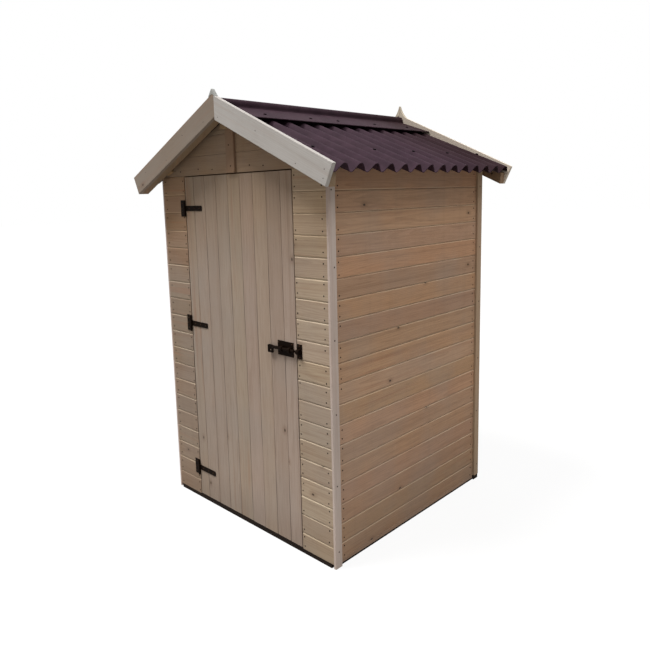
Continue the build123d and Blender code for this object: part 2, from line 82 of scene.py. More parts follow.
# Round a board's profile: 1 on the bevels, less at their outer edges, -1 in the joints, 0 elsewhere.
EDGE_MARKS = np.array([0.0, -1.0, -1.0, 0.35, 1.0, 0.0, 0.0, 1.0, 0.35, -1.0, -1.0, 0.0])
FACE_POINTS = slice(3, 9)

# Shares of a bevel's width and depth at the points that round it, and of a whole bevel on some boards.
BEND_SHARE, END_SHARE, BEND_DEPTH_SHARE = 0.75, 1.2, 0.25
GABLE_BEVEL_SHARE, DOOR_BEVEL_SHARE, FLOOR_BEVEL_SHARE = 0.2, 0.4, 0.35

# Joints between the door's boards, in covers from its middle.
DOOR_JOINTS = np.arange(-3.5, 4.0)

# Chance on the boards: fewest waves of the bow, metres that the grain may be shifted, and seeds.
LEAST_BOW_WAVES, GRAIN_SHIFT = 0.7, 5
TOP_SEED_STEP, TIMBER_SEED, TIMBER_SEED_STEP = 20, 0.137, 0.618

# Least sizes and small rooms between neighbours, in metres.
LEAST_BEVEL, LEAST_BEVEL_DEPTH, LEAST_ROW, LEAST_BOARD = 0.0004, 0.00005, 0.008, 0.001
REBATE_STEP, SEAT_ROOM = 0.0003, 0.0002
SHEET_ROOM, EAVE_ROOM, STRIP_ROOM, PEAK_ROOM = 0.0004, 0.0055, 0.0005, 0.003

# Nail and screw heads: rise and depth of the foot in metres, shares for the round, shades of the metal, and
# the least upward part of a direction that counts as steep.
NAIL_RISE, ROOF_NAIL_RISE, SCREW_RISE = 0.0007, 0.0042, 0.0016
NAIL_SUNK, SCREW_SUNK = 0.0015, 0.001
HEAD_WIDTH_SHARES = np.array([0.96, 1.0, 0.9, 0.55, 0.12])
HEAD_RISE_SHARES = np.array([0.15, 0.62, 0.93, 1.0])
NAIL_CAP_SHADE, SCREW_SHADE, STEEP = 0.15, 7.0, 0.7

# Wall nails: distances from corners, doorway and strips, unevenness, shares of a board, and the row over the
# door.
CORNER_INSET, JAMB_INSET, BACK_INSET = 0.021, 0.011, 0.025
SIDE_FRONT_INSET, SIDE_BACK_INSET = 0.026, 0.022
NAIL_UNEVEN, NAIL_ASIDE = 0.0035, 0.0012
BOARD_NAIL_SHARES = np.array([[0.76, 0.24], [0.24, 0.76]])
GABLE_NAILS = np.array([-0.41, -0.26, -0.15, 0.12, 0.21, 0.36, 0.44])
GABLE_NAIL_LIFT, GABLE_NAIL_STEP = 0.022, 0.006

# Trim nails: shares of a bargeboard's reach and width, and metres on the strips.
BARGE_SHARES = {
    "left": np.array([0.1, 0.34, 0.55, 0.83, 0.93]),
    "right": np.array([0.05, 0.4, 0.725, 0.94, 0.93]),
}
BARGE_DROP_SHARES = np.array([0.75, 0.4, 0.74, 0.33, 0.68])
BARGE_NAIL_ROOM = 0.0006
STRIP_NAILS, STRIP_FOOT_INSET, STRIP_TOP_INSET = 6, 0.06, 0.08
STRIP_NAIL_UNEVEN, STRIP_NAIL_ASIDE = 0.01, 0.003
GABLE_STRIP_ASIDE, GABLE_STRIP_INSETS = (0.004, -0.005), (0.03, 0.07)

# Roof nails: numbers of the crests, and distance of the row from the middle of the ridge.
CAP_NAILS, CAP_NAIL_OUT = [1, 4, 6, 9, 12], 0.145
PURLIN_NAILS, PURLIN_NAIL_OUT = [0, 4, 7, 10, 13], 0.522

# Hinges and their screws: inset and height on a plate, shares of a strap's length, inset on the bolt's
# plates, and thickness of the iron.
HINGES = ("top", "middle", "bottom")
PLATE_SCREWS = ((0.016, 0.026), (0.016, -0.026), (0.012, 0.0))
STRAP_SCREW_SHARES = (0.28, 0.58, 0.87)
BOLT_SCREW_INSET, IRON_THICK = 0.0075, 0.0025

# Wide soft lamps: name, property with the strength, and tilt, swing and width in degrees.
LAMPS = (("front_lamp", "lamp", 26, -40, 20), ("side_lamp", "fill", 30, 70, 24))
LAMP_COLOUR = (1.0, 0.985, 0.96)

# Sky with its strength at the horizon, floor and camera.
SKY_COLOUR, LOW_SKY = (0.97, 0.985, 1.0, 1.0), 0.25
FLOOR_REACH, FLOOR_GLOW = 40.0, 0.88
FLOOR_BOUNCE, FLOOR_SEEN = (0.3, 0.29, 0.27, 1.0), (0.9, 0.9, 0.9, 1.0)
SENSOR_WIDTH = 36.0


def setting(name, default, description, kind=FloatProperty, **limits):
    """A property for the panel."""
    return kind(name=name, description=description, default=default, **limits)


length = partial(setting, min=0.0, unit="LENGTH", precision=4)
angle = partial(setting, subtype="ANGLE")
share = partial(setting, min=0.0, max=1.0, subtype="FACTOR")
strength = partial(setting, min=0.0)
vector = partial(setting, kind=FloatVectorProperty)
colour = partial(vector, size=3, min=0.0, max=1.0, subtype="COLOR")


class ShedBoardSizes(bpy.types.PropertyGroup):
    """Sizes of the wall, door and floor boards"""

    cover: length("Cover", 0.088, "Height of wall that one board covers")
    first: length("First", 0.077, "Height of the lowest board")
    foot: length("Foot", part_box("back_wall")[0].z, "Height of the lowest board's lower edge")
    bevel: length("Bevel", 0.0042, "Width of the bevel along a board's edges")
    bevel_depth: length("Bevel depth", 0.0026, "Depth of the bevel along a board's edges")
    gap: length("Gap", 0.0005, "Half of the gap between two boards")
    lap: length("Lap", 0.005, "Height of the tongue behind the next board")
    bow: length("Bow", 0.0003, "How far a board's face wanders inwards along its length")
    floor_cover: length("Floor cover", 0.093, "Width of one floor board")


class ShedRoofSizes(bpy.types.PropertyGroup):
    """Sizes of the sheets, the ridge cap and the bargeboards"""

    slope: angle("Slope", radians(22.6), "Angle of the sheets")
    wave: length("Wave", 0.095, "Length of one wave of a sheet")
    first_crest: length("First crest", 0.0628, "Distance of the first crest from the front end")
    flank: angle("Flank", radians(50), "Steepest angle of a wave")
    height: length("Height", 0.038, "Height of a sheet over its waves")
    skin: length("Skin", 0.003, "Thickness of a sheet")
    top_gap: length("Top gap", 0.014, "Distance of a sheet's top end from the middle of the ridge")
    seat_ridge: length(
        "Seat ridge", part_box("ridge_beam")[1].z + SEAT_ROOM, "Height where the sheets' undersides would meet"
    )
    reach: length("Reach", 0.672, "Distance of a sheet's lower end from the middle of the ridge")
    cap_slope: angle("Cap slope", radians(19.5), "Angle of the ridge cap's flanges")
    cap_roll: length("Cap roll", 0.026, "Radius of the ridge cap's roll")
    cap_rise: length("Cap rise", 0.029, "Height of the roll's top over the crests' meeting line")
    cap_cove: length("Cap cove", 0.009, "Radius of the cove between roll and flange")
    barge_slope: angle("Bargeboard slope", radians(25.2), "Angle of the bargeboards' grain and nails")
    barge_width: length("Bargeboard width", 0.094, "Width of the bargeboards, for their nails")


class ShedFixings(bpy.types.PropertyGroup):
    """Sizes of the nails and screws"""

    nail: length("Nail head", 0.0034, "Radius of a wall nail's head")
    roof_nail: length("Roof nail head", 0.0078, "Radius of a roof nail's cap")
    screw: length("Screw head", 0.0036, "Radius of a screw's head on the ironmongery")
    left_out: share("Left out", 0.12, "Share of the wall nails' places that have no nail")
    seed: setting("Seed", 7, "Start of the random numbers", kind=IntProperty, min=0)


class ShedColours(bpy.types.PropertyGroup):
    """Linear colours of the finishes"""

    front: colour("Front boards", (0.408, 0.323, 0.239), "Wood of the front wall on the right")
    # Darker than the right front boards, as painted shade.
    front_left_shaded: colour("Left front boards", (0.288, 0.213, 0.153), "Wood of the front wall on the left")
    # Darker than the wood is, as painted shade under the roof's overhang.
    gable: colour("Gable boards", (0.315, 0.222, 0.142), "Wood of the gable over the door")
    gable_strip: colour("Gable strip", (0.262, 0.164, 0.1), "Wood of the upright strip on the gable")
    side: colour("Side boards", (0.462, 0.3, 0.197), "Wood of the side and back walls")
    door: colour("Door boards", (0.375, 0.305, 0.252), "Wood of the door")
    trim: colour("Front strips", (0.54, 0.452, 0.412), "Wood of the front corners' cover strips")
    trim_back: colour("Back strips", (0.38, 0.266, 0.184), "Wood of the back corners' cover strips")
    board_right: colour("Pale bargeboard", (0.466, 0.449, 0.434), "Wood of the right front bargeboard")
    # Paler than the wood is, as painted light on the back bargeboard's inner face and the back finial.
    board_back_lit: colour("Back bargeboard", (0.62, 0.55, 0.46), "Wood of the back finial and bargeboard")
    finial: colour("Front finial", (0.345, 0.358, 0.35), "Greyed wood of the front finial")
    board_left: colour("Dark bargeboards", (0.264, 0.213, 0.172), "Wood of the bargeboards on the left")
    framing: colour("Framing", (0.33, 0.225, 0.135), "Sawn wood inside")
    # Darker than the framing, as painted shade under the sheets.
    rafter_shaded: colour("Rafters", (0.26, 0.185, 0.115), "Sawn wood behind the bargeboards")
    late: colour("Late wood", (0.17, 0.095, 0.055), "Dark lines of the grain")
    knot: colour("Knots", (0.045, 0.024, 0.014), "Knots in the wood")
    # Near-black, partly as painted shadow at the shed's foot.
    base: colour("Base", (0.011, 0.0078, 0.0062), "Dark treated bearers")
    roof: colour("Roof", (0.0398, 0.0213, 0.0318), "Corrugated sheets")
    # The sheets' colour darkened, as painted shade on the ridge cap.
    cap: colour("Ridge cap", (0.033, 0.0166, 0.0245), "Ridge cap, darker than the sheets")
    dust: colour("Dust", (0.092, 0.06, 0.07), "Dust on the sheets")
    iron: colour("Iron", (0.006, 0.003, 0.0016), "Black hinges and bolt")
    nail: colour("Nails", (0.012, 0.008, 0.006), "Nail heads")


class ShedStage(bpy.types.PropertyGroup):
    """Camera and lights"""

    focal: setting("Focal length", 34.149, "Lens of the camera", unit="CAMERA")
    place: vector("Camera", (2.2171, -2.3520, 1.5817), "Place of the camera", subtype="TRANSLATION")
    turn: vector("Turn", (1.418510, 0.028897, 0.790361), "Angles of the camera", subtype="EULER")
    shift: vector("Shift", (0.03686, -0.05544), "Shift of the picture, as shares of its width", size=2)
    sky: strength("Sky", 0.5, "Strength of the soft light from above")
    lamp: strength("Lamp", 3.42, "Strength of the soft lamp from the front")
    fill: strength("Fill", 1.6, "Strength of the soft lamp from the right")


class Value:
    """The value of a socket. Sums, differences and products of values add nodes to its web."""

    def __init__(self, web, socket):
        self.web, self.socket = web, socket

    def __add__(self, other):
        return self.web.math("ADD", self, other)

    def __sub__(self, other):
        return self.web.math("SUBTRACT", self, other)

    def __rsub__(self, other):
        return self.web.math("SUBTRACT", other, self)

    def __mul__(self, other):
        return self.web.math("MULTIPLY", self, other)

    def smooth(self, low, high):
        """From 0 at low to 1 at high, rounded at both ends."""
        inputs = {0: self, 1: low, 2: high}
        return self.web.value("ShaderNodeMapRange", 0, inputs, interpolation_type="SMOOTHSTEP")

    def span(self, low, high):
        """From low where the value is 0 to high where it is 1."""
        return self.web.value("ShaderNodeMapRange", 0, {0: self, 3: low, 4: high})


class Web:
    """Adds nodes to one node tree and joins their sockets."""

    def __init__(self, tree):
        self.tree = tree

    def add(self, kind, inputs=None, **settings):
        node = self.tree.nodes.new(kind)
        for key, choice in settings.items():
            setattr(node, key, choice)
        for key, value in (inputs or {}).items():
            self.feed(node.inputs[key], value)
        return node

    def feed(self, socket, value):
        if isinstance(value, Value):
            self.tree.links.new(value.socket, socket)
        else:
            socket.default_value = value

    def value(self, kind, output, inputs=None, **settings):
        """One output of a new node."""
        return Value(self, self.add(kind, inputs, **settings).outputs[output])

    def values(self, kind, inputs=None, **settings):
        """All outputs of a new node, by their names."""
        node = self.add(kind, inputs, **settings)
        return {socket.name: Value(self, socket) for socket in node.outputs}

    def math(self, operation, a, b, clamp=False):
        return self.value("ShaderNodeMath", 0, {0: a, 1: b}, operation=operation, use_clamp=clamp)

    def mix(self, factor, a, b, blend="MIX"):
        inputs = {0: factor, 6: a, 7: b}
        return self.value("ShaderNodeMix", 2, inputs, data_type="RGBA", blend_type=blend)

    def vector(self, x, y, z):
        return self.value("ShaderNodeCombineXYZ", 0, {0: x, 1: y, 2: z})

    def parts(self, vector):
        return list(self.values("ShaderNodeSeparateXYZ", {0: vector}).values())

    def noise(self, vector, scale, detail=2.0, rough=0.5):
        inputs = {"Vector": vector, "Scale": scale, "Detail": detail, "Roughness": rough}
        return self.value("ShaderNodeTexNoise", "Fac", inputs)

    def cloud(self, x, y, z, detail=2.0, rough=0.5):
        """Noise at a place with these three parts."""
        return self.noise(self.vector(x, y, z), 1.0, detail, rough)

    def place(self):
        """Object coordinates."""
        return self.value("ShaderNodeTexCoord", "Object")

    def attribute(self, name):
        return self.value("ShaderNodeAttribute", "Fac", attribute_name=name)

    def effect(self, name, inputs):
        """Outputs of a shared node group, placed with these values."""
        return self.values("ShaderNodeGroup", inputs, node_tree=group(name))

    def bump(self, height, amount, distance):
        inputs = {"Height": height, "Strength": amount, "Distance": distance}
        return self.value("ShaderNodeBump", 0, inputs)


def new_group(name, inputs, outputs):
    """An empty shader node group with these sockets: its web, its inputs' values and its output sockets."""
    tree = bpy.data.node_groups.new(name, "ShaderNodeTree")
    for side, sockets in (("INPUT", inputs), ("OUTPUT", outputs)):
        for label, kind in sockets.items():
            tree.interface.new_socket(name=label, in_out=side, socket_type=f"NodeSocket{kind}")
    web = Web(tree)
    return web, web.values("NodeGroupInput"), web.add("NodeGroupOutput").inputs


def softwood_group():
    """Sawn softwood: growth rings round an axis beside the board, cut lengthwise, with fibres, streaks,
    reddish heartwood and knots, and a tone for each board."""
    web, given, out = new_group(
        "softwood",
        {"Along": "Vector", "Seed": "Float", "Pale": "Color", "Late": "Color", "Knot Colour": "Color",
         "Grain": "Float", "Knots": "Float", "Tone Spread": "Float", "Hue Spread": "Float"},
        {"Color": "Color", "Roughness": "Float", "Height": "Float"},
    )
    seed, amount, late_tone = given["Seed"], given["Grain"], given["Late"]
    x, y, z = web.parts(given["Along"])
    across = y + z
    shifted = x + seed * 23.0
    chance = web.value("ShaderNodeTexWhiteNoise", "Color", {"W": seed * 91.7}, noise_dimensions="1D")
    c1, c2, c3 = web.parts(chance)

    def drawn(along, wide, board, detail=2.0, rough=0.5):
        """Noise drawn out along the grain, and different on each board."""
        return web.cloud(shifted * along, across * wide, seed * board, detail, rough)

    sway = web.cloud(shifted * 1.3, seed * 9.0, 0.0, 1.0)
    lift = web.cloud(shifted * 0.9, seed * 31.0, 4.0, 1.0)
    ring_y = y + c1.span(-0.085, 0.0) + sway.span(-0.03, 0.03)
    ring_z = z + c2.span(0.006, 0.05) + lift.span(-0.03, 0.03)
    stem = web.vector(shifted * 0.035, ring_y, ring_z)
    rings = web.value(
        "ShaderNodeTexWave", "Fac", {"Vector": stem, "Scale": 45.0, "Distortion": 2.2, "Detail": 2.0},
        wave_type="RINGS", rings_direction="X", wave_profile="SAW",
    )
    late = rings.smooth(0.35, 1.0)
    fibre = web.cloud(shifted * 7.0, y * 520.0, z * 520.0, 3.0, 0.6)
    blotch = drawn(2.2, 14.0, 1.0)
    streak = drawn(0.5, 42.0, 57.0)
    figure = drawn(8.0, 130.0, 13.0, 3.0, 0.65)
    heart = drawn(1.4, 48.0, 83.0)
    spots = {"Vector": web.vector(shifted * 5.5, across * 9.0 + seed * 47.0, 0.0), "Scale": 1.0}
    cells = web.values("ShaderNodeTexVoronoi", spots, voronoi_dimensions="2D")
    chosen = web.math("LESS_THAN", web.parts(cells["Color"])[0], given["Knots"])
    near = cells["Distance"] + fibre.span(-0.012, 0.012)
    knot = (1.0 - near.smooth(0.025, 0.055)) * chosen
    halo = (1.0 - near.smooth(0.04, 0.2)) * chosen
    lines = late * 0.45 + fibre.smooth(0.45, 0.75) * 0.4
    toned = web.value("ShaderNodeHueSaturation", 0, {
        "Hue": (c3 - 0.5) * given["Hue Spread"] + 0.5,
        "Saturation": c1.span(0.92, 1.12),
        "Value": (c2 - 0.5) * given["Tone Spread"] + 1.0,
        "Color": given["Pale"],
    })
    body = web.mix(lines * amount, toned, late_tone)
    body = web.mix(blotch.span(0.0, 0.3), body, late_tone, "SOFT_LIGHT")
    body = web.mix(streak.smooth(0.5, 0.75) * amount * 0.62, body, late_tone)
    body = web.mix(figure.smooth(0.46, 0.74) * amount * 0.67, body, late_tone)
    red = heart.smooth(0.52, 0.7) * c3.smooth(0.5, 0.75) * amount
    body = web.mix(red * 1.2, body, HEARTWOOD)
    body = web.mix(halo * 0.4, body, late_tone)
    web.feed(out["Color"], web.mix(knot, body, given["Knot Colour"]))
    web.feed(out["Roughness"], fibre * 0.22 + 0.62)
    web.feed(out["Height"], fibre * 0.5 - late * 0.35)
    return web.tree


def joint_group():
    """Board joints: the bevels carry a painted highlight in stretches and are dirty in others, and the gap
    between boards is dark, most of all in the dirty stretches."""
    web, given, out = new_group(
        "board_joint",
        {"Color": "Color", "Edge": "Float", "Paleness": "Float", "Dirt": "Float", "Along": "Vector",
         "Seed": "Float"},
        {"Color": "Color"},
    )
    face, edge, seed = given["Color"], given["Edge"], given["Seed"]
    x = web.parts(given["Along"])[0]
    highlight_breaks = web.cloud(x * 5.0, seed * 71.0, 0.0, 2.0)
    soil = web.cloud(x * 3.4, seed * 43.0, 7.0, 3.0)
    # Painted highlight on the bevels, broken into stretches by noise.
    pale = web.mix(given["Paleness"] * highlight_breaks.smooth(0.25, 0.6), face, BEVEL_HIGHLIGHT)
    pale = web.mix(given["Dirt"] * soil.smooth(0.4, 0.62), pale, JOINT_SOIL)
    bevel = web.mix(edge.smooth(0.15, 0.9), face, pale)
    gap = web.mix(soil.smooth(0.42, 0.58), web.mix(0.6, face, JOINT_GAP), JOINT_GAP)
    web.feed(out["Color"], web.mix((edge * -1.0).smooth(0.1, 1.0), bevel, gap))
    return web.tree


def rain_group():
    """Rain and handling: splashed dirt close to the ground, with upright streaks and a light greying; and high
    on the wall under the eaves a multiplied tint that is painted eave shade where it darkens and a warmer
    sheltered tone of the wood where it warms."""
    web, given, out = new_group(
        "rain_marks",
        {"Color": "Color", "Position": "Vector", "Strength": "Float", "Greying": "Float",
         "Shelter": "Color"},
        {"Color": "Color"},
    )
    x, y, z = web.parts(given["Position"])
    streak = web.cloud(x * 26.0, y * 26.0, z * 1.1, 3.0)
    patch = web.noise(given["Position"], 3.2, 3.0)
    marks = (1.0 - z.smooth(0.0, 0.22)) * 0.5 + streak.smooth(0.5, 0.85) * 0.2
    grey = web.mix(patch.smooth(0.35, 0.7) * given["Greying"], given["Color"], GREYED_WOOD)
    # Painted eave shade: the top of the wall is multiplied by a tint that darkens it, and on the fronts also
    # warms it as a sheltered tone.
    grey = web.mix(z.smooth(1.1, 1.65), grey, given["Shelter"], "MULTIPLY")
    web.feed(out["Color"], web.mix(marks * given["Strength"], grey, SPLASHED_DIRT))
    return web.tree


def dust_group():
    """Dust and scuffs on a surface: cloudy patches drawn out down the slope, and finer specks."""
    web, given, out = new_group(
        "dust",
        {"Color": "Color", "Dust Colour": "Color", "Position": "Vector", "Strength": "Float"},
        {"Color": "Color", "Mask": "Float"},
    )
    x, y, z = web.parts(given["Position"])
    patch = web.cloud(x * 2.6, y * 9.0, z * 5.0, 4.0, 0.6)
    speck = web.noise(given["Position"], 210.0, 2.0)
    both = patch.smooth(0.38, 0.78) + speck.smooth(0.58, 0.8) * 0.5
    mask = web.math("MULTIPLY", both, given["Strength"], True)
    web.feed(out["Color"], web.mix(mask, given["Color"], given["Dust Colour"]))
    web.feed(out["Mask"], mask)
    return web.tree


def group(name):
    """The shared node group of that name, made at its first use."""
    makers = {
        "softwood": softwood_group, "board_joint": joint_group, "rain_marks": rain_group, "dust": dust_group
    }
    return bpy.data.node_groups.get(name) or makers[name]()


def solid(rgb, factor=1.0):
    """A linear colour times a factor, with its alpha."""
    return (*(factor * part for part in rgb), 1.0)


def seen_rays(web):
    """1 for the rays that show the surround: from the camera, from gloss and through clear pieces."""
    path = web.values("ShaderNodeLightPath")
    mirrored = path["Is Glossy Ray"] + path["Is Transmission Ray"]
    return web.math("ADD", path["Is Camera Ray"], mirrored, True)


def clear_web(owner):
    """The web of a material or world, with its nodes cleared."""
    owner.use_nodes = True
    owner.node_tree.nodes.clear()
    return Web(owner.node_tree)


def new_material(name):
    """A material, its web, and the inputs of its shader, which is joined to the output."""
    material = bpy.data.materials.new(name)
    web = clear_web(material)
    shader = web.add("ShaderNodeBsdfPrincipled")
    web.add("ShaderNodeOutputMaterial", {"Surface": Value(web, shader.outputs[0])})
    return material, web, shader.inputs


def dress(web, shader, *values):
    """Joins base colour, roughness, gloss and bump to a shader."""
    for key, value in zip(("Base Color", "Roughness", "Specular IOR Level", "Normal"), values):
        web.feed(shader[key], value)


def timber(name, pale, seed=None, turn=None, grain=0.42, knots=0.05, tones=0.22, hues=0.03, joints=None,
           dirt=0.0, rain=0.45, greying=0.25, eave_shade_and_tone=(1.0, 1.0, 1.0)):
    """Wood with its grain along a board: from the boards' own map where joints is given, and else along the
    turned X axis."""
    colours = bpy.context.scene.shed_colours
    material, web, shader = new_material(name)
    position = web.place()
    if joints is None:
        along = web.value("ShaderNodeMapping", 0, {"Vector": position, "Rotation": turn})
    else:
        along = web.value("ShaderNodeUVMap", 0, uv_map="along")
        seed = web.attribute("board")
    wood = web.effect("softwood", {
        "Along": along, "Seed": seed, "Pale": solid(pale), "Late": solid(colours.late),
        "Knot Colour": solid(colours.knot), "Grain": grain, "Knots": knots, "Tone Spread": tones,
        "Hue Spread": hues,
    })
    surface = wood["Color"]
    if joints is not None:
        # Joints: painted highlights on the bevels, dirt, and dark gaps.
        surface = web.effect("board_joint", {
            "Color": surface, "Edge": web.attribute("edge"), "Paleness": joints, "Dirt": dirt,
            "Along": along, "Seed": seed,
        })["Color"]
    marks = web.effect("rain_marks", {
        "Color": surface, "Position": position, "Strength": rain, "Greying": greying,
        "Shelter": solid(eave_shade_and_tone),
    })
    bump = web.bump(wood["Height"], 0.35, 0.0008)
    dress(web, shader, marks["Color"], wood["Roughness"], 0.16, bump)
    return material


def dark_timber(name, rgb):
    """Bearers: near-black wood, its darkness partly painted shadow at the shed's foot, with a little pale
    earth splashed on.
    """
    material, web, shader = new_material(name)
    position = web.place()
    drawn = web.value("ShaderNodeMapping", 0, {"Vector": position, "Scale": (6.0, 160.0, 160.0)})
    fibre = web.noise(drawn, 1.0, 3.0)
    tone = web.mix(fibre.smooth(0.35, 0.7), solid(rgb), solid(rgb, 1.9))
    dust = web.effect("dust", {
        "Color": tone, "Dust Colour": EARTH, "Position": position, "Strength": 0.03,
    })
    dress(web, shader, dust["Color"], fibre.span(0.6, 0.9), 0.04, web.bump(fibre, 0.4, 0.001))
    return material


def bitumen(name, rgb):
    """Fibrous coated sheet: mottled colour, painted shade that darkens it towards the back, pressed fibres as
    bump, and dust drawn down the slope."""
    material, web, shader = new_material(name)
    position = web.place()
    mottle = web.noise(position, 17.0, 4.0, 0.6)
    fibre = web.noise(position, 420.0, 3.0, 0.65)
    tone = web.mix(mottle.smooth(0.3, 0.75), solid(rgb, 0.8), solid(rgb, 1.22))
    tone = web.mix(fibre.span(0.0, 0.4), tone, solid(rgb, 0.45))
    # Painted shade: the sheet darkens towards the back end.
    back_shade = (web.parts(position)[1] + mottle.span(-0.15, 0.15)).smooth(0.0, 0.7)
    tone = web.mix(back_shade * 0.85, tone, SHEET_BACK_SHADE)
    dust = web.effect("dust", {
        "Color": tone, "Dust Colour": solid(bpy.context.scene.shed_colours.dust), "Position": position,
        "Strength": 0.2,
    })
    rough = dust["Mask"] * 0.3 + 0.66
    dress(web, shader, dust["Color"], rough, 0.05, web.bump(fibre, 0.35, 0.0012))
    return material


def black_iron(name, rgb, rough):
    """Black-coated or dulled metal: fine grainy coat, rubbed lighter in small patches."""
    material, web, shader = new_material(name)
    position = web.place()
    coat = web.noise(position, 900.0, 2.0)
    rub = web.noise(position, 70.0, 4.0, 0.7).smooth(0.56, 0.72)
    tone = web.mix(rub * 0.5, solid(rgb), solid(rgb, 3.0))
    dress(web, shader, tone, rub * 0.12 + rough, 0.025, web.bump(coat, 0.2, 0.0004))
    return material


def put_mesh(name, points, faces, material, body, slot, node=None, values=None, smooth=None):
    """Makes a piece from whole arrays of points and faces, turns its faces outwards, sets it on its body,
    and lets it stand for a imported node. Values with two columns become a UV map, and others an attribute."""
    mesh = bpy.data.meshes.new(name)
    mesh.from_pydata(points.reshape(-1, 3).tolist(), [], faces)
    for key, data in (values or {}).items():
        data = data.astype(np.float32)
        if data.ndim == 2:
            corners = np.empty(len(mesh.loops), np.int32)
            mesh.loops.foreach_get("vertex_index", corners)
            mesh.uv_layers.new(name=key).data.foreach_set("uv", data[corners].ravel())
        else:
            mesh.attributes.new(key, "FLOAT", "POINT").data.foreach_set("value", data)
    work = bmesh.new()
    work.from_mesh(mesh)
    bmesh.ops.recalc_face_normals(work, faces=work.faces)
    work.to_mesh(mesh)
    work.free()
    if smooth is not None:
        mesh.shade_smooth()
        mesh.set_sharp_from_angle(angle=smooth)
    mesh.materials.append(material)
    piece = bpy.data.objects.new(name, mesh)
    bpy.context.scene.collection.objects.link(piece)
    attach(piece, body)
    if node is not None:
        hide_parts(node)


def tube_faces(count, stations, ring):
    """Faces of count closed tubes: quads between neighbouring stations and ring places, and a cap at each
    end."""
    tube = np.arange(count)[:, None, None] * stations * ring
    i = np.arange(stations - 1)[None, :, None] * ring
    j = np.arange(ring)[None, None, :]
    k = (j + 1) % ring
    corners = (tube + i + j, tube + i + k, tube + i + ring + k, tube + i + ring + j)
    quads = np.stack(np.broadcast_arrays(*corners), -1).reshape(-1, 4)
    start = np.arange(count)[:, None] * stations * ring + np.arange(ring)[None, :]
    caps = np.concatenate([start[:, ::-1], start + (stations - 1) * ring])
    return quads.tolist() + caps.tolist()


def sheet_faces(stations, ring):
    """Faces of one folded band: quads round the ring and along the run, and quads that close both ends
    between the skins."""
    sides = [face for face in tube_faces(1, stations, ring) if len(face) == 4]
    j = np.arange(ring // 2 - 1)
    ends = [
        np.stack([start + j, start + j + 1, start + ring - 2 - j, start + ring - 1 - j], 1)
        for start in (0, (stations - 1) * ring)
    ]
    return sides + np.concatenate(ends).tolist()


def lay_boards(name, node, rows, ends, axes, thick, wood, bevels, seed, laps=None, body="shed",
               slot="cladding"):
    """Boards side by side. A board's profile across is a bevelled face, a rebate below and a tongue above.
    It is carried along the board from one end line to the other, which may depend on the height, and its
    face wanders by a slow sine. The axes are the origin and the directions along, across and out of the
    face."""
    sizes = bpy.context.scene.shed_boards
    rows = np.asarray(rows, float)
    count, ring = len(rows), len(EDGE_MARKS)
    chance = np.random.default_rng(seed).random((count, 4))
    if laps is None:
        laps = np.ones((count, 2))
        laps[0, 0] = laps[-1, 1] = 0.0
    low, high = rows[:, :1] + sizes.gap, rows[:, 1:] - sizes.gap
    wide = np.maximum(bevels * sizes.bevel, LEAST_BEVEL)
    deep = np.maximum(bevels * sizes.bevel_depth, LEAST_BEVEL_DEPTH)
    under = low + laps[:, :1] * sizes.lap
    over = high + laps[:, 1:] * (sizes.lap - 2 * REBATE_STEP)
    across = np.hstack([
        under, under, low, low, low + BEND_SHARE * wide[:, :1], low + END_SHARE * wide[:, :1],
        high - END_SHARE * wide[:, 1:], high - BEND_SHARE * wide[:, 1:], high, high, over, over,
    ])
    face = np.zeros((count, 1))
    back, middle = face + thick, face + thick / 2
    before, behind = middle - REBATE_STEP, middle + REBATE_STEP
    bend = BEND_DEPTH_SHARE * deep
    depth = np.hstack([
        back, behind, before, deep[:, :1], bend[:, :1], face,
        face, bend[:, 1:], deep[:, 1:], before, behind, back,
    ])
    marks = np.tile(EDGE_MARKS, (count, 1))
    marks[0, 1:3] = marks[-1, 9:11] = 0.0
    on_face = np.zeros(ring)
    on_face[FACE_POINTS] = 1.0
    first, last = ends(across)
    t = np.linspace(0, 1, BOARD_STATIONS)[None, :, None]
    run = first[:, None, :] + t * (last - first)[:, None, :]
    phase = t * (LEAST_BOW_WAVES + chance[:, None, None, 2]) + chance[:, None, None, 3]
    bow = sizes.bow * (1 + np.sin(2 * pi * phase)) / 2
    inward = depth[:, None, :] + bow * on_face
    upward = np.broadcast_to(across[:, None, :], run.shape)
    origin, along, up, out = (np.asarray(axis, float) for axis in axes)
    points = origin + run[..., None] * along + upward[..., None] * up - inward[..., None] * out
    local = np.stack([run + GRAIN_SHIFT * chance[:, :1, None], upward - rows[:, :1, None]], -1)
    values = {
        "along": local.reshape(-1, 2),
        "board": np.broadcast_to(chance[:, 1, None, None], run.shape).ravel(),
        "edge": np.broadcast_to(marks[:, None, :], run.shape).ravel(),
    }
    faces = tube_faces(count, BOARD_STATIONS, ring)
    put_mesh(name, points, faces, wood, body, slot, node, values)


def level_rows(foot, top, cover, first=None):
    """Lower and upper heights of the rows of boards from foot to top, the lowest one as high as first."""
    lines = np.concatenate([[foot], np.arange(foot + (first or cover), top - LEAST_ROW, cover), [top]])
    return np.stack([lines[:-1], lines[1:]], 1)


def straight(first, last):
    """Ends of boards that all run from first to last."""
    return lambda across: (np.full_like(across, first), np.full_like(across, last))


def under_roof(half, wall):
    """Half length of boards under a gable: half, or less where the sheets' underside comes down to that
    height, and always a little past wall."""
    roof = bpy.context.scene.shed_roof

    def reach(across):
        room = (roof.seat_ridge - SHEET_ROOM - across) / tan(roof.slope)
        return np.maximum(np.minimum(half, room), wall + LEAST_BOARD)

    return reach


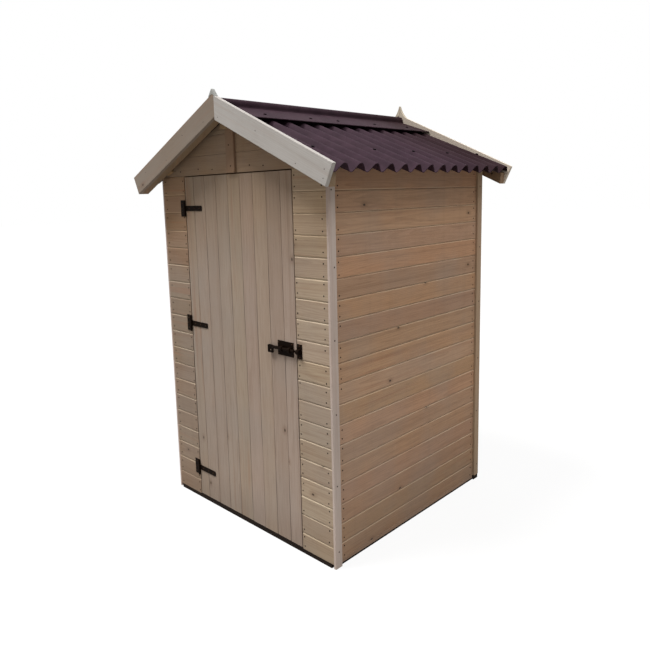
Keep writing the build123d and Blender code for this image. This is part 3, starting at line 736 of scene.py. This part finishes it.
def front_wall(sizes, label, wood, seed):
    """Rows beside the doorway. The top edge is bevelled on the left alone."""
    node = f"front_wall_{label}"
    low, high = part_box(node)
    rows = level_rows(low.z, high.z, sizes.cover, sizes.first)
    bevels = np.ones((len(rows), 2))
    bevels[0, 0] = 0.0
    bevels[-1, 1] = 1.0 if label == "left" else 0.0
    axes = ((0, low.y, 0), X_AXIS, Z_AXIS, -Y_AXIS)
    ends = straight(low.x, high.x)
    lay_boards(f"front_boards_{label}", node, rows, ends, axes, high.y - low.y, wood, bevels, seed)


def side_wall(sizes, label, sign, wood, seed):
    """Rows of a side over a narrow foot board, which stops at the back corner's cover strip."""
    node = f"{label}_wall"
    low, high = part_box(node)
    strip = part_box(f"corner_strip_back_{label}")[0]
    rows = level_rows(sizes.foot, high.z - EAVE_ROOM, sizes.cover, sizes.first)
    rows[0, 0] = strip.z
    rows = np.vstack([[[low.z, strip.z]], rows])
    bevels = np.ones((len(rows), 2))
    bevels[0] = bevels[1, 0] = bevels[-1, 1] = 0.0

    def ends(across):
        return np.full_like(across, low.y), np.where(across < rows[0, 1], strip.y - STRIP_ROOM, high.y)

    axes = ((high.x if sign > 0 else low.x, 0, 0), Y_AXIS, Z_AXIS, sign * X_AXIS)
    lay_boards(f"side_boards_{label}", node, rows, ends, axes, high.x - low.x, wood, bevels, seed, bevels)


def gable_wall(sizes, node, name, sign, first, bevel, wood, seed):
    """Rows up to the ridge beam and a short row on each side of it, all cut off under the sheets."""
    roof = bpy.context.scene.shed_roof
    low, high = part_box(node)
    beam_low, beam_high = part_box("ridge_beam")
    beam, thick = beam_high.x, high.y - low.y
    rows = level_rows(low.z, beam_low.z, sizes.cover, first)
    bevels = np.full((len(rows), 2), bevel)
    bevels[0, 0] = bevels[-1, 1] = 0.0
    axes = ((0, high.y if sign > 0 else low.y, 0), X_AXIS, Z_AXIS, sign * Y_AXIS)
    reach, past = under_roof(high.x, 0.0), under_roof(high.x, beam)
    lay_boards(name, node, rows, lambda across: (-reach(across), reach(across)), axes, thick, wood, bevels,
               seed)
    top = [[beam_low.z, roof.seat_ridge - tan(roof.slope) * (beam + PEAK_ROOM)]]
    flat = np.zeros((1, 2))
    halves = {
        "left": lambda across: (-past(across), np.full_like(across, -beam)),
        "right": lambda across: (np.full_like(across, beam), past(across)),
    }
    seed += TOP_SEED_STEP
    for label, ends in halves.items():
        lay_boards(f"{name}_top_{label}", None, top, ends, axes, thick, wood, flat, seed, flat)


class SHED_OT_wall_boards(bpy.types.Operator):
    """Boards of the four walls, with V joints, cut to the roof at the gables"""

    bl_idname = "shed.wall_boards"
    bl_label = "Wall Boards"

    def execute(self, context):
        sizes, colours = context.scene.shed_boards, context.scene.shed_colours
        # The fourth column is each front's eave tint: painted eave shade at the top of the wall, with a warmer
        # sheltered tone.
        fronts = (
            # Left boards: a darker colour as painted shade.
            ("left", colours.front_left_shaded, 0.38, (1.13, 0.95, 0.78), 11),
            ("right", colours.front, 0.46, (1.17, 1.08, 0.97), 12),
        )
        for label, pale, joints, eave_shade_and_tone, seed in fronts:
            wood = timber(f"front_boards_{label}_wood", pale, joints=joints, tones=0.2, hues=0.012,
                          knots=0.1, eave_shade_and_tone=eave_shade_and_tone)
            front_wall(sizes, label, wood, seed)
        # The eave tint darkens the top of the side walls as painted eave shade.
        side = timber("side_boards_wood", colours.side, joints=0.42, dirt=0.12, tones=0.3, hues=0.013,
                      knots=0.13, eave_shade_and_tone=(0.92, 0.89, 0.85))
        # The gable's darker colour is painted shade under the overhang.
        gable = timber("gable_boards_wood", colours.gable, joints=0.02, dirt=0.12, tones=0.08, hues=0.01)
        gable_wall(sizes, "front_gable", "front_gable_boards", -1, None, GABLE_BEVEL_SHARE, gable, 13)
        gable_wall(sizes, "back_wall", "back_boards", 1, sizes.first, 1.0, side, 14)
        for label, sign, seed in (("left", -1, 15), ("right", 1, 16)):
            side_wall(sizes, label, sign, side, seed)
        return {"FINISHED"}


class SHED_OT_door_boards(bpy.types.Operator):
    """Upright boards of the door, with V joints"""

    bl_idname = "shed.door_boards"
    bl_label = "Door Boards"

    def execute(self, context):
        # The eave tint darkens and warms the top of the door as painted eave shade.
        wood = timber("door_boards_wood", context.scene.shed_colours.door, joints=0.05, dirt=0.7, tones=0.24,
                      hues=0.02, grain=0.36, knots=0.08, eave_shade_and_tone=(0.91, 0.85, 0.76))
        low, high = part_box("door_boards")
        lines = np.concatenate([[low.x], DOOR_JOINTS * context.scene.shed_boards.cover, [high.x]])
        rows = np.stack([lines[:-1], lines[1:]], 1)
        bevels = np.full((len(rows), 2), DOOR_BEVEL_SHARE)
        axes = ((0, low.y, 0), Z_AXIS, X_AXIS, -Y_AXIS)
        lay_boards("door_upright_boards", "door_boards", rows, straight(low.z, high.z), axes, high.y - low.y,
                   wood, bevels, 21, body="door", slot="door")
        return {"FINISHED"}


class SHED_OT_floor_boards(bpy.types.Operator):
    """Floor boards from front to back"""

    bl_idname = "shed.floor_boards"
    bl_label = "Floor Boards"

    def execute(self, context):
        pale = context.scene.shed_colours.framing
        wood = timber("floor_boards_wood", pale, joints=0.0, grain=0.5, rain=0.2)
        low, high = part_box("floor_deck")
        wide = high.x - low.x
        cover = wide / round(wide / context.scene.shed_boards.floor_cover)
        rows = level_rows(low.x, high.x, cover)
        bevels = np.full((len(rows), 2), FLOOR_BEVEL_SHARE)
        axes = ((0, 0, high.z), Y_AXIS, X_AXIS, Z_AXIS)
        lay_boards("floor_boards", "floor_deck", rows, straight(low.y, high.y), axes, high.z - low.z, wood,
                   bevels, 22, slot="framing")
        return {"FINISHED"}


def wavy_sheet(roof, front, back, sign):
    """The underside across the sheet is a row of arcs: round crests and round troughs, joined by straight
    flanks. The upper side is the same line moved by the skin along its normal. Both are run straight down
    the slope."""
    half, steep = roof.wave / 2, roof.flank
    rise = roof.height - roof.skin
    bend = (half * tan(steep) - rise) / (2 / cos(steep) - 2)
    curved = bend * sin(steep)
    y = np.linspace(front, back, SHEET_WAVES * WAVE_STEPS + 1)
    past = (y - front - roof.first_crest + half) % roof.wave - half
    off = np.abs(past)
    crest, trough = off <= curved, off >= half - curved
    inner = np.where(crest, off, half - off)
    arc = np.sqrt(np.maximum(bend**2 - np.minimum(inner, curved) ** 2, 0))
    flank = rise / 2 + (half / 2 - off) * tan(steep)
    height = np.where(crest, rise - bend + arc, np.where(trough, bend - arc, flank))
    lean = np.where(crest | trough, inner / arc, tan(steep)) * np.sign(past)
    size = np.sqrt(1 + lean**2)
    ring_y = np.concatenate([y, (y + roof.skin * lean / size)[::-1]])
    ring_y = np.clip(ring_y, front, back)
    ring_h = np.concatenate([height, (height + roof.skin / size)[::-1]])
    run = np.linspace(0, (roof.reach - roof.top_gap) / cos(roof.slope), SHEET_STATIONS)[:, None]
    top = roof.seat_ridge - tan(roof.slope) * roof.top_gap
    x = roof.top_gap + run * cos(roof.slope) + ring_h * sin(roof.slope)
    z = top - run * sin(roof.slope) + ring_h * cos(roof.slope)
    points = np.stack([sign * x, np.broadcast_to(ring_y, x.shape), z], -1)
    return points, sheet_faces(*x.shape)


class SHED_OT_roof_sheets(bpy.types.Operator):
    """Corrugated sheets of both slopes"""

    bl_idname = "shed.roof_sheets"
    bl_label = "Roof Sheets"

    def execute(self, context):
        cover = bitumen("corrugated_sheet", context.scene.shed_colours.roof)
        low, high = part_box("right_roof_sheet")
        for label, sign in (("left", -1), ("right", 1)):
            points, faces = wavy_sheet(context.scene.shed_roof, low.y, high.y, sign)
            put_mesh(f"corrugated_sheet_{label}", points, faces, cover, "shed", "roofing",
                     f"{label}_roof_sheet", smooth=SHEET_SMOOTH)
        return {"FINISHED"}


def roll_cap(roof):
    """Half of the upper line is a flange, a cove that touches flange and roll, and a part of the roll. It is
    mirrored, closed by the flanges' undersides, and run along the ridge. The cove's middle is as far from
    the roll's middle as both radii together, and its own radius above the flange."""
    low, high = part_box("ridge_cap")
    lean, upright = tan(roof.cap_slope), cos(roof.cap_slope)
    skin = roof.skin / upright
    peak = low.z + lean * high.x + skin
    middle = roof.seat_ridge + roof.height / cos(roof.slope) + roof.cap_rise - roof.cap_roll
    lift = peak + roof.cap_cove / upright - middle
    reach = roof.cap_roll + roof.cap_cove
    a, b, c = 1 + lean**2, -2 * lean * lift, lift**2 - reach**2
    cove_x = (-b + np.sqrt(b * b - 4 * a * c)) / (2 * a)
    cove_z = middle + lift - lean * cove_x
    meet = np.arctan2(cove_x, cove_z - middle)
    turn = np.linspace(0, meet, ROLL_POINTS)
    roll = np.stack([roof.cap_roll * np.sin(turn), middle + roof.cap_roll * np.cos(turn)], 1)
    swing = np.linspace(meet + pi, pi + roof.cap_slope, COVE_POINTS)[1:]
    cove = np.stack([cove_x + roof.cap_cove * np.sin(swing), cove_z + roof.cap_cove * np.cos(swing)], 1)
    flange_x = np.linspace(cove[-1, 0], high.x, FLANGE_POINTS)[1:]
    flange = np.stack([flange_x, peak - lean * flange_x], 1)
    upper = np.concatenate([roll, cove, flange])
    under = np.stack([upper[:, 0], peak - skin - lean * upper[:, 0]], 1)
    mirror = np.array([-1, 1])
    line, below = (np.concatenate([half[:0:-1] * mirror, half]) for half in (upper, under))
    ring = np.concatenate([line, below[::-1]])
    y = np.linspace(low.y, high.y, CAP_STATIONS)[:, None]
    shape = (CAP_STATIONS, len(ring))
    points = np.stack([np.broadcast_to(part, shape) for part in (ring[:, 0], y, ring[:, 1])], -1)
    return points, sheet_faces(*shape)


class SHED_OT_ridge_cap(bpy.types.Operator):
    """Ridge cap: a round roll between two flanges"""

    bl_idname = "shed.ridge_cap"
    bl_label = "Ridge Cap"

    def execute(self, context):
        points, faces = roll_cap(context.scene.shed_roof)
        # The cap's darker colour is painted shade.
        cover = bitumen("ridge_cap_sheet", context.scene.shed_colours.cap)
        put_mesh("ridge_roll_cap", points, faces, cover, "shed", "roofing", "ridge_cap", smooth=CAP_SMOOTH)
        return {"FINISHED"}


def heads_at(x, y, z, outward):
    """Rows with the place and the outward direction of each head."""
    return np.column_stack(np.broadcast_arrays(x, y, z, *outward))


def put_heads(name, heads, radius, rise, sunk, material, slot, body="shed"):
    """Round heads as one piece: a circle of points carried over a quarter-round from the rim to the pole,
    set on each place along its outward direction, with the foot sunk into the surface and closed."""
    places, outward = heads[:, :3], heads[:, 3:]
    helper = np.where(np.abs(outward[:, 2:]) > STEEP, X_AXIS, Z_AXIS)
    side = np.cross(outward, helper)
    side /= np.linalg.norm(side, axis=1, keepdims=True)
    other = np.cross(outward, side)
    turn = np.arange(HEAD_SIDES)[None, :, None] / HEAD_SIDES * 2 * pi
    wide = radius * HEAD_WIDTH_SHARES
    high = np.concatenate([[-sunk], rise * HEAD_RISE_SHARES])
    circle = side[:, None] * np.cos(turn) + other[:, None] * np.sin(turn)
    rims = circle[:, None] * wide[None, :, None, None]
    points = places[:, None, None] + rims + outward[:, None, None] * high[None, :, None, None]
    faces = tube_faces(len(places), len(wide), HEAD_SIDES)
    put_mesh(name, points, faces, material, body, slot, smooth=HEAD_SMOOTH)


def wall_nails(sizes, left_out, chance):
    """Places and directions of two nails a board at each post, a quarter in from the board's edges, in
    columns beside the corners and the doorway, and of a row over the door."""
    rows = level_rows(sizes.foot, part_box("door_boards")[1].z, sizes.cover, sizes.first)
    heights = (rows @ BOARD_NAIL_SHARES).T.ravel()
    left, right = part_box("front_wall_left"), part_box("front_wall_right")
    front, back = left[0].y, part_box("back_wall")[1].y
    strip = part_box("corner_strip_front_right")[1].y
    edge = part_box("right_wall")[1].x
    side_columns = (strip + SIDE_FRONT_INSET, -strip - SIDE_BACK_INSET)
    columns = [
        ((left[0].x + CORNER_INSET, front), (0, -1)),
        ((left[1].x - JAMB_INSET, front), (0, -1)),
        ((right[0].x + JAMB_INSET, front), (0, -1)),
        ((right[1].x - CORNER_INSET, front), (0, -1)),
        *(((turn * edge, y), (turn, 0)) for turn in (1, -1) for y in side_columns),
        ((-edge + BACK_INSET, back), (0, 1)),
        ((edge - BACK_INSET, back), (0, 1)),
    ]
    spots, sides = (np.array(part) for part in zip(*columns))
    flat = np.repeat(spots, len(heights), 0)
    outward = np.repeat(np.hstack([sides, np.zeros((len(sides), 1))]), len(heights), 0)
    z = np.tile(heights, len(spots)) + chance.normal(0, NAIL_UNEVEN, len(flat))
    sideways = np.column_stack([-outward[:, 1], outward[:, 0], np.zeros(len(flat))])
    places = np.column_stack([flat, z]) + sideways * chance.normal(0, NAIL_ASIDE, len(flat))[:, None]
    kept = chance.random(len(flat)) > left_out
    step = GABLE_NAIL_STEP * (np.arange(len(GABLE_NAILS)) % 2)
    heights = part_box("door_head")[0].z + GABLE_NAIL_LIFT + step
    gable = heads_at(GABLE_NAILS, front, heights, -Y_AXIS)
    return np.vstack([np.hstack([places, outward])[kept], gable])


def trim_nails(roof, chance):
    """Places and directions of nails along each bargeboard at set shares of its length and width, up the
    cover strips, and in the gable strip."""
    heads = []
    for side, sign in (("front", -1), ("back", 1)):
        for hand, turn in (("left", -1), ("right", 1)):
            low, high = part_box(f"bargeboard_{side}_{hand}")
            out = BARGE_SHARES[hand] * (high.x if turn > 0 else -low.x)
            drop = BARGE_DROP_SHARES * roof.barge_width / cos(roof.barge_slope)
            face = low.y + BARGE_NAIL_ROOM if sign < 0 else high.y - BARGE_NAIL_ROOM
            z = high.z - tan(roof.barge_slope) * out - drop
            heads.append(heads_at(turn * out, face, z, sign * Y_AXIS))
            low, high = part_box(f"corner_strip_{side}_{hand}")
            z = np.linspace(low.z + STRIP_FOOT_INSET, high.z - STRIP_TOP_INSET, STRIP_NAILS)
            z = z + chance.normal(0, STRIP_NAIL_UNEVEN, STRIP_NAILS)
            y = (low.y + high.y) / 2 + chance.normal(0, STRIP_NAIL_ASIDE, STRIP_NAILS)
            heads.append(heads_at(high.x if turn > 0 else low.x, y, z, turn * X_AXIS))
    low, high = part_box("gable_strip")
    foot, top = GABLE_STRIP_INSETS
    heads.append(heads_at(GABLE_STRIP_ASIDE, low.y, [low.z + foot, high.z - top], -Y_AXIS))
    return np.vstack(heads)


def roof_nails(roof):
    """Places and directions of capped nails through crests: along the ridge cap's flanges, and in one row
    over each purlin."""
    low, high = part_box("ridge_cap")
    crests = low.y + roof.first_crest + roof.wave * np.arange(SHEET_WAVES)
    cap_peak = low.z + tan(roof.cap_slope) * high.x + roof.skin / cos(roof.cap_slope)
    sheet_peak = roof.seat_ridge + roof.height / cos(roof.slope)
    rows = (
        (CAP_NAILS, CAP_NAIL_OUT, cap_peak, roof.cap_slope),
        (PURLIN_NAILS, PURLIN_NAIL_OUT, sheet_peak, roof.slope),
    )
    heads = []
    for sign in (-1, 1):
        for kept, out, peak, slope in rows:
            outward = (sign * sin(slope), 0, cos(slope))
            heads.append(heads_at(sign * out, crests[kept], peak - tan(slope) * out, outward))
    return np.vstack(heads)


class SHED_OT_nails(bpy.types.Operator):
    """Nail heads in the wall boards, trim and roof"""

    bl_idname = "shed.nails"
    bl_label = "Nails"

    def execute(self, context):
        scene = context.scene
        fixings, colours, roof = scene.shed_fixings, scene.shed_colours, scene.shed_roof
        metal = black_iron("nail_metal", colours.nail, rough=0.55)
        cap = black_iron("roof_nail_cap", [NAIL_CAP_SHADE * part for part in colours.roof], rough=0.6)
        chance = np.random.default_rng(fixings.seed)
        nail = (fixings.nail, NAIL_RISE, NAIL_SUNK, metal)
        roof_nail = (fixings.roof_nail, ROOF_NAIL_RISE, NAIL_SUNK, cap)
        put_heads("wall_nails", wall_nails(scene.shed_boards, fixings.left_out, chance), *nail, "cladding")
        put_heads("trim_nails", trim_nails(roof, chance), *nail, "trim")
        put_heads("roof_nails", roof_nails(roof), *roof_nail, "roofing")
        return {"FINISHED"}


class SHED_OT_screws(bpy.types.Operator):
    """Screw heads on the hinges, the bolt and its keeper"""

    bl_idname = "shed.screws"
    bl_label = "Screws"

    def execute(self, context):
        fixings, colours = context.scene.shed_fixings, context.scene.shed_colours
        metal = black_iron("screw_metal", [SCREW_SHADE * part for part in colours.iron], rough=0.38)
        plates, straps = [], []
        for label in HINGES:
            low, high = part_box(f"hinge_plate_{label}")
            middle = (low.z + high.z) / 2
            plates += [(low.x + inset, middle + up) for inset, up in PLATE_SCREWS]
            low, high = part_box(f"hinge_strap_{label}")
            straps += [(low.x + part * (high.x - low.x), middle) for part in STRAP_SCREW_SHARES]
        inset = BOLT_SCREW_INSET
        low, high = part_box("bolt_plate")
        straps += [(x, z) for x in (low.x + inset, high.x - inset) for z in (low.z + inset, high.z - inset)]
        low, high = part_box("bolt_keeper")
        plates += [((low.x + high.x) / 2, z) for z in (low.z + inset, high.z - inset)]
        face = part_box("front_gable")[0].y - IRON_THICK
        for name, spots, body in (("fixed_screws", plates, "shed"), ("door_screws", straps, "door")):
            x, z = np.array(spots).T
            heads = heads_at(x, face, z, -Y_AXIS)
            put_heads(name, heads, fixings.screw, SCREW_RISE, SCREW_SUNK, metal, "ironmongery", body)
        return {"FINISHED"}


class SHED_OT_finishes(bpy.types.Operator):
    """Finishes of the timbers and ironmongery that keep their own shapes"""

    bl_idname = "shed.finishes"
    bl_label = "Finishes"

    def execute(self, context):
        colours = context.scene.shed_colours
        looks = self.timbers(colours, context.scene.shed_roof.barge_slope)
        sawn = (tuple(colours.framing), tuple(colours.rafter_shaded))
        for number, (name, (pale, turn)) in enumerate(sorted(looks.items())):
            inside = tuple(pale) in sawn
            wood = timber(f"{name}_wood", pale, seed=TIMBER_SEED + TIMBER_SEED_STEP * number, turn=turn,
                          grain=0.5 if inside else 0.16, tones=0.1, hues=0.015, rain=0.12,
                          greying=0.0 if inside else 0.2)
            self.give(name, wood)
        self.give("floor_bearers", dark_timber("treated_bearers", colours.base))
        iron = black_iron("black_ironmongery", colours.iron, rough=0.55)
        hinges = [f"hinge_{part}_{label}" for part in ("plate", "strap") for label in HINGES]
        for name in (*hinges, "bolt_plate", "bolt_keeper", "bolt_rod"):
            self.give(name, iron)
        return {"FINISHED"}

    def timbers(self, colours, tilt):
        """Colour of each timber, and the turn that lays its grain along it."""
        upright, level, deep = (0, pi / 2, 0), (0, 0, 0), (0, 0, -pi / 2)
        ends = {
            "front": (colours.trim, colours.board_right, colours.finial),
            "back": (colours.trim_back, colours.board_back_lit, colours.board_back_lit),
        }
        looks = {"gable_strip": (colours.gable_strip, upright)}
        for side, (strip, right, finial) in ends.items():
            looks[f"corner_strip_{side}_left"] = looks[f"corner_strip_{side}_right"] = (strip, upright)
            looks[f"bargeboard_{side}_right"] = (right, (0, -tilt, 0))
            looks[f"bargeboard_{side}_left"] = (colours.board_left, (0, tilt, 0))
            looks[f"{side}_finial"] = (finial, upright)
            looks[f"{side}_rafters"] = (colours.rafter_shaded, level)
        turns = {
            upright: ("front_frame_left", "front_frame_right"),
            level: ("door_head", "back_frame", "door_ledges"),
            deep: ("left_frame", "right_frame", "ridge_beam", "left_purlin", "right_purlin"),
        }
        for turn, names in turns.items():
            looks.update({name: (colours.framing, turn) for name in names})
        return looks

    def give(self, name, material):
        """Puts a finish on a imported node."""
        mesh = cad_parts[name].data
        mesh.materials.clear()
        mesh.materials.append(material)


def add_floor(scene):
    """A flat square under the shed, white to the camera but for part of the shed's shadow."""
    corners = FLOOR_REACH * np.array([[-1, -1, 0], [1, -1, 0], [1, 1, 0], [-1, 1, 0]], float)
    mesh = bpy.data.meshes.new("floor")
    mesh.from_pydata(corners.tolist(), [], [(0, 1, 2, 3)])
    material = bpy.data.materials.new("pale_floor")
    web = clear_web(material)
    seen = seen_rays(web)
    matt = web.value("ShaderNodeBsdfDiffuse", 0, {"Color": web.mix(seen, FLOOR_BOUNCE, FLOOR_SEEN)})
    bright = web.value("ShaderNodeEmission", 0, {"Color": WHITE, "Strength": 1.0})
    mixed = web.value("ShaderNodeMixShader", 0, {0: seen * FLOOR_GLOW, 1: matt, 2: bright})
    web.add("ShaderNodeOutputMaterial", {"Surface": mixed})
    mesh.materials.append(material)
    floor = bpy.data.objects.new("floor", mesh)
    scene.collection.objects.link(floor)


def add_light(scene, stage):
    """A white surround for the camera, a sky that brightens towards the top, and two wide soft lamps from
    high up."""
    world = bpy.data.worlds.new("soft_sky")
    web = clear_web(world)
    height = web.parts(web.value("ShaderNodeTexCoord", "Generated"))[2]
    glow = (web.math("MAXIMUM", height, 0.0) + LOW_SKY) * stage.sky
    sky = web.value("ShaderNodeBackground", 0, {"Color": SKY_COLOUR, "Strength": glow})
    white = web.value("ShaderNodeBackground", 0, {"Color": WHITE, "Strength": 1.0})
    mixed = web.value("ShaderNodeMixShader", 0, {0: seen_rays(web), 1: sky, 2: white})
    web.add("ShaderNodeOutputWorld", {"Surface": mixed})
    scene.world = world
    for name, power, tilt, swing, wide in LAMPS:
        lamp = bpy.data.lights.new(name, "SUN")
        lamp.energy, lamp.angle, lamp.color = getattr(stage, power), radians(wide), LAMP_COLOUR
        holder = bpy.data.objects.new(name, lamp)
        holder.rotation_euler = Euler((radians(tilt), 0.0, radians(swing)))
        scene.collection.objects.link(holder)


class SHED_OT_stage(bpy.types.Operator):
    """Pale floor, soft light and the camera"""

    bl_idname = "shed.stage"
    bl_label = "Stage"

    def execute(self, context):
        scene, stage = context.scene, context.scene.shed_stage
        scene.view_settings.view_transform = "Standard"
        add_floor(scene)
        add_light(scene, stage)
        data = bpy.data.cameras.new("shed_camera")
        data.sensor_width, data.lens = SENSOR_WIDTH, stage.focal
        data.shift_x, data.shift_y = stage.shift
        camera = bpy.data.objects.new("shed_camera", data)
        camera.location, camera.rotation_euler = stage.place, Euler(stage.turn)
        scene.collection.objects.link(camera)
        scene.camera = camera
        return {"FINISHED"}


class SHED_PT_panel(bpy.types.Panel):
    """Sizes, colours and pieces of the shed"""

    bl_idname = "SHED_PT_panel"
    bl_label = "Garden Shed"
    bl_space_type = "VIEW_3D"
    bl_region_type = "UI"
    bl_category = "Shed"

    def draw(self, context):
        for name in PROPERTY_GROUPS:
            box = self.layout.box()
            settings = getattr(context.scene, name)
            for key in settings.__annotations__:
                box.prop(settings, key)
        for operator in OPERATORS:
            self.layout.operator(operator.bl_idname)


PROPERTY_GROUPS = {
    "shed_boards": ShedBoardSizes,
    "shed_roof": ShedRoofSizes,
    "shed_fixings": ShedFixings,
    "shed_colours": ShedColours,
    "shed_stage": ShedStage,
}
OPERATORS = (
    SHED_OT_wall_boards,
    SHED_OT_door_boards,
    SHED_OT_floor_boards,
    SHED_OT_roof_sheets,
    SHED_OT_ridge_cap,
    SHED_OT_nails,
    SHED_OT_screws,
    SHED_OT_finishes,
    SHED_OT_stage,
)


def register():
    for name, kind in PROPERTY_GROUPS.items():
        bpy.utils.register_class(kind)
        setattr(bpy.types.Scene, name, PointerProperty(type=kind))
    for kind in (*OPERATORS, SHED_PT_panel):
        bpy.utils.register_class(kind)


def unregister():
    for kind in (SHED_PT_panel, *reversed(OPERATORS)):
        bpy.utils.unregister_class(kind)
    for name, kind in reversed(PROPERTY_GROUPS.items()):
        delattr(bpy.types.Scene, name)
        bpy.utils.unregister_class(kind)


def main():
    """Registers the classes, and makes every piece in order."""
    register()
    bpy.ops.shed.wall_boards()
    bpy.ops.shed.door_boards()
    bpy.ops.shed.floor_boards()
    bpy.ops.shed.roof_sheets()
    bpy.ops.shed.ridge_cap()
    bpy.ops.shed.nails()
    bpy.ops.shed.screws()
    bpy.ops.shed.finishes()
    bpy.ops.shed.stage()


if __name__ == "__main__":
    main()
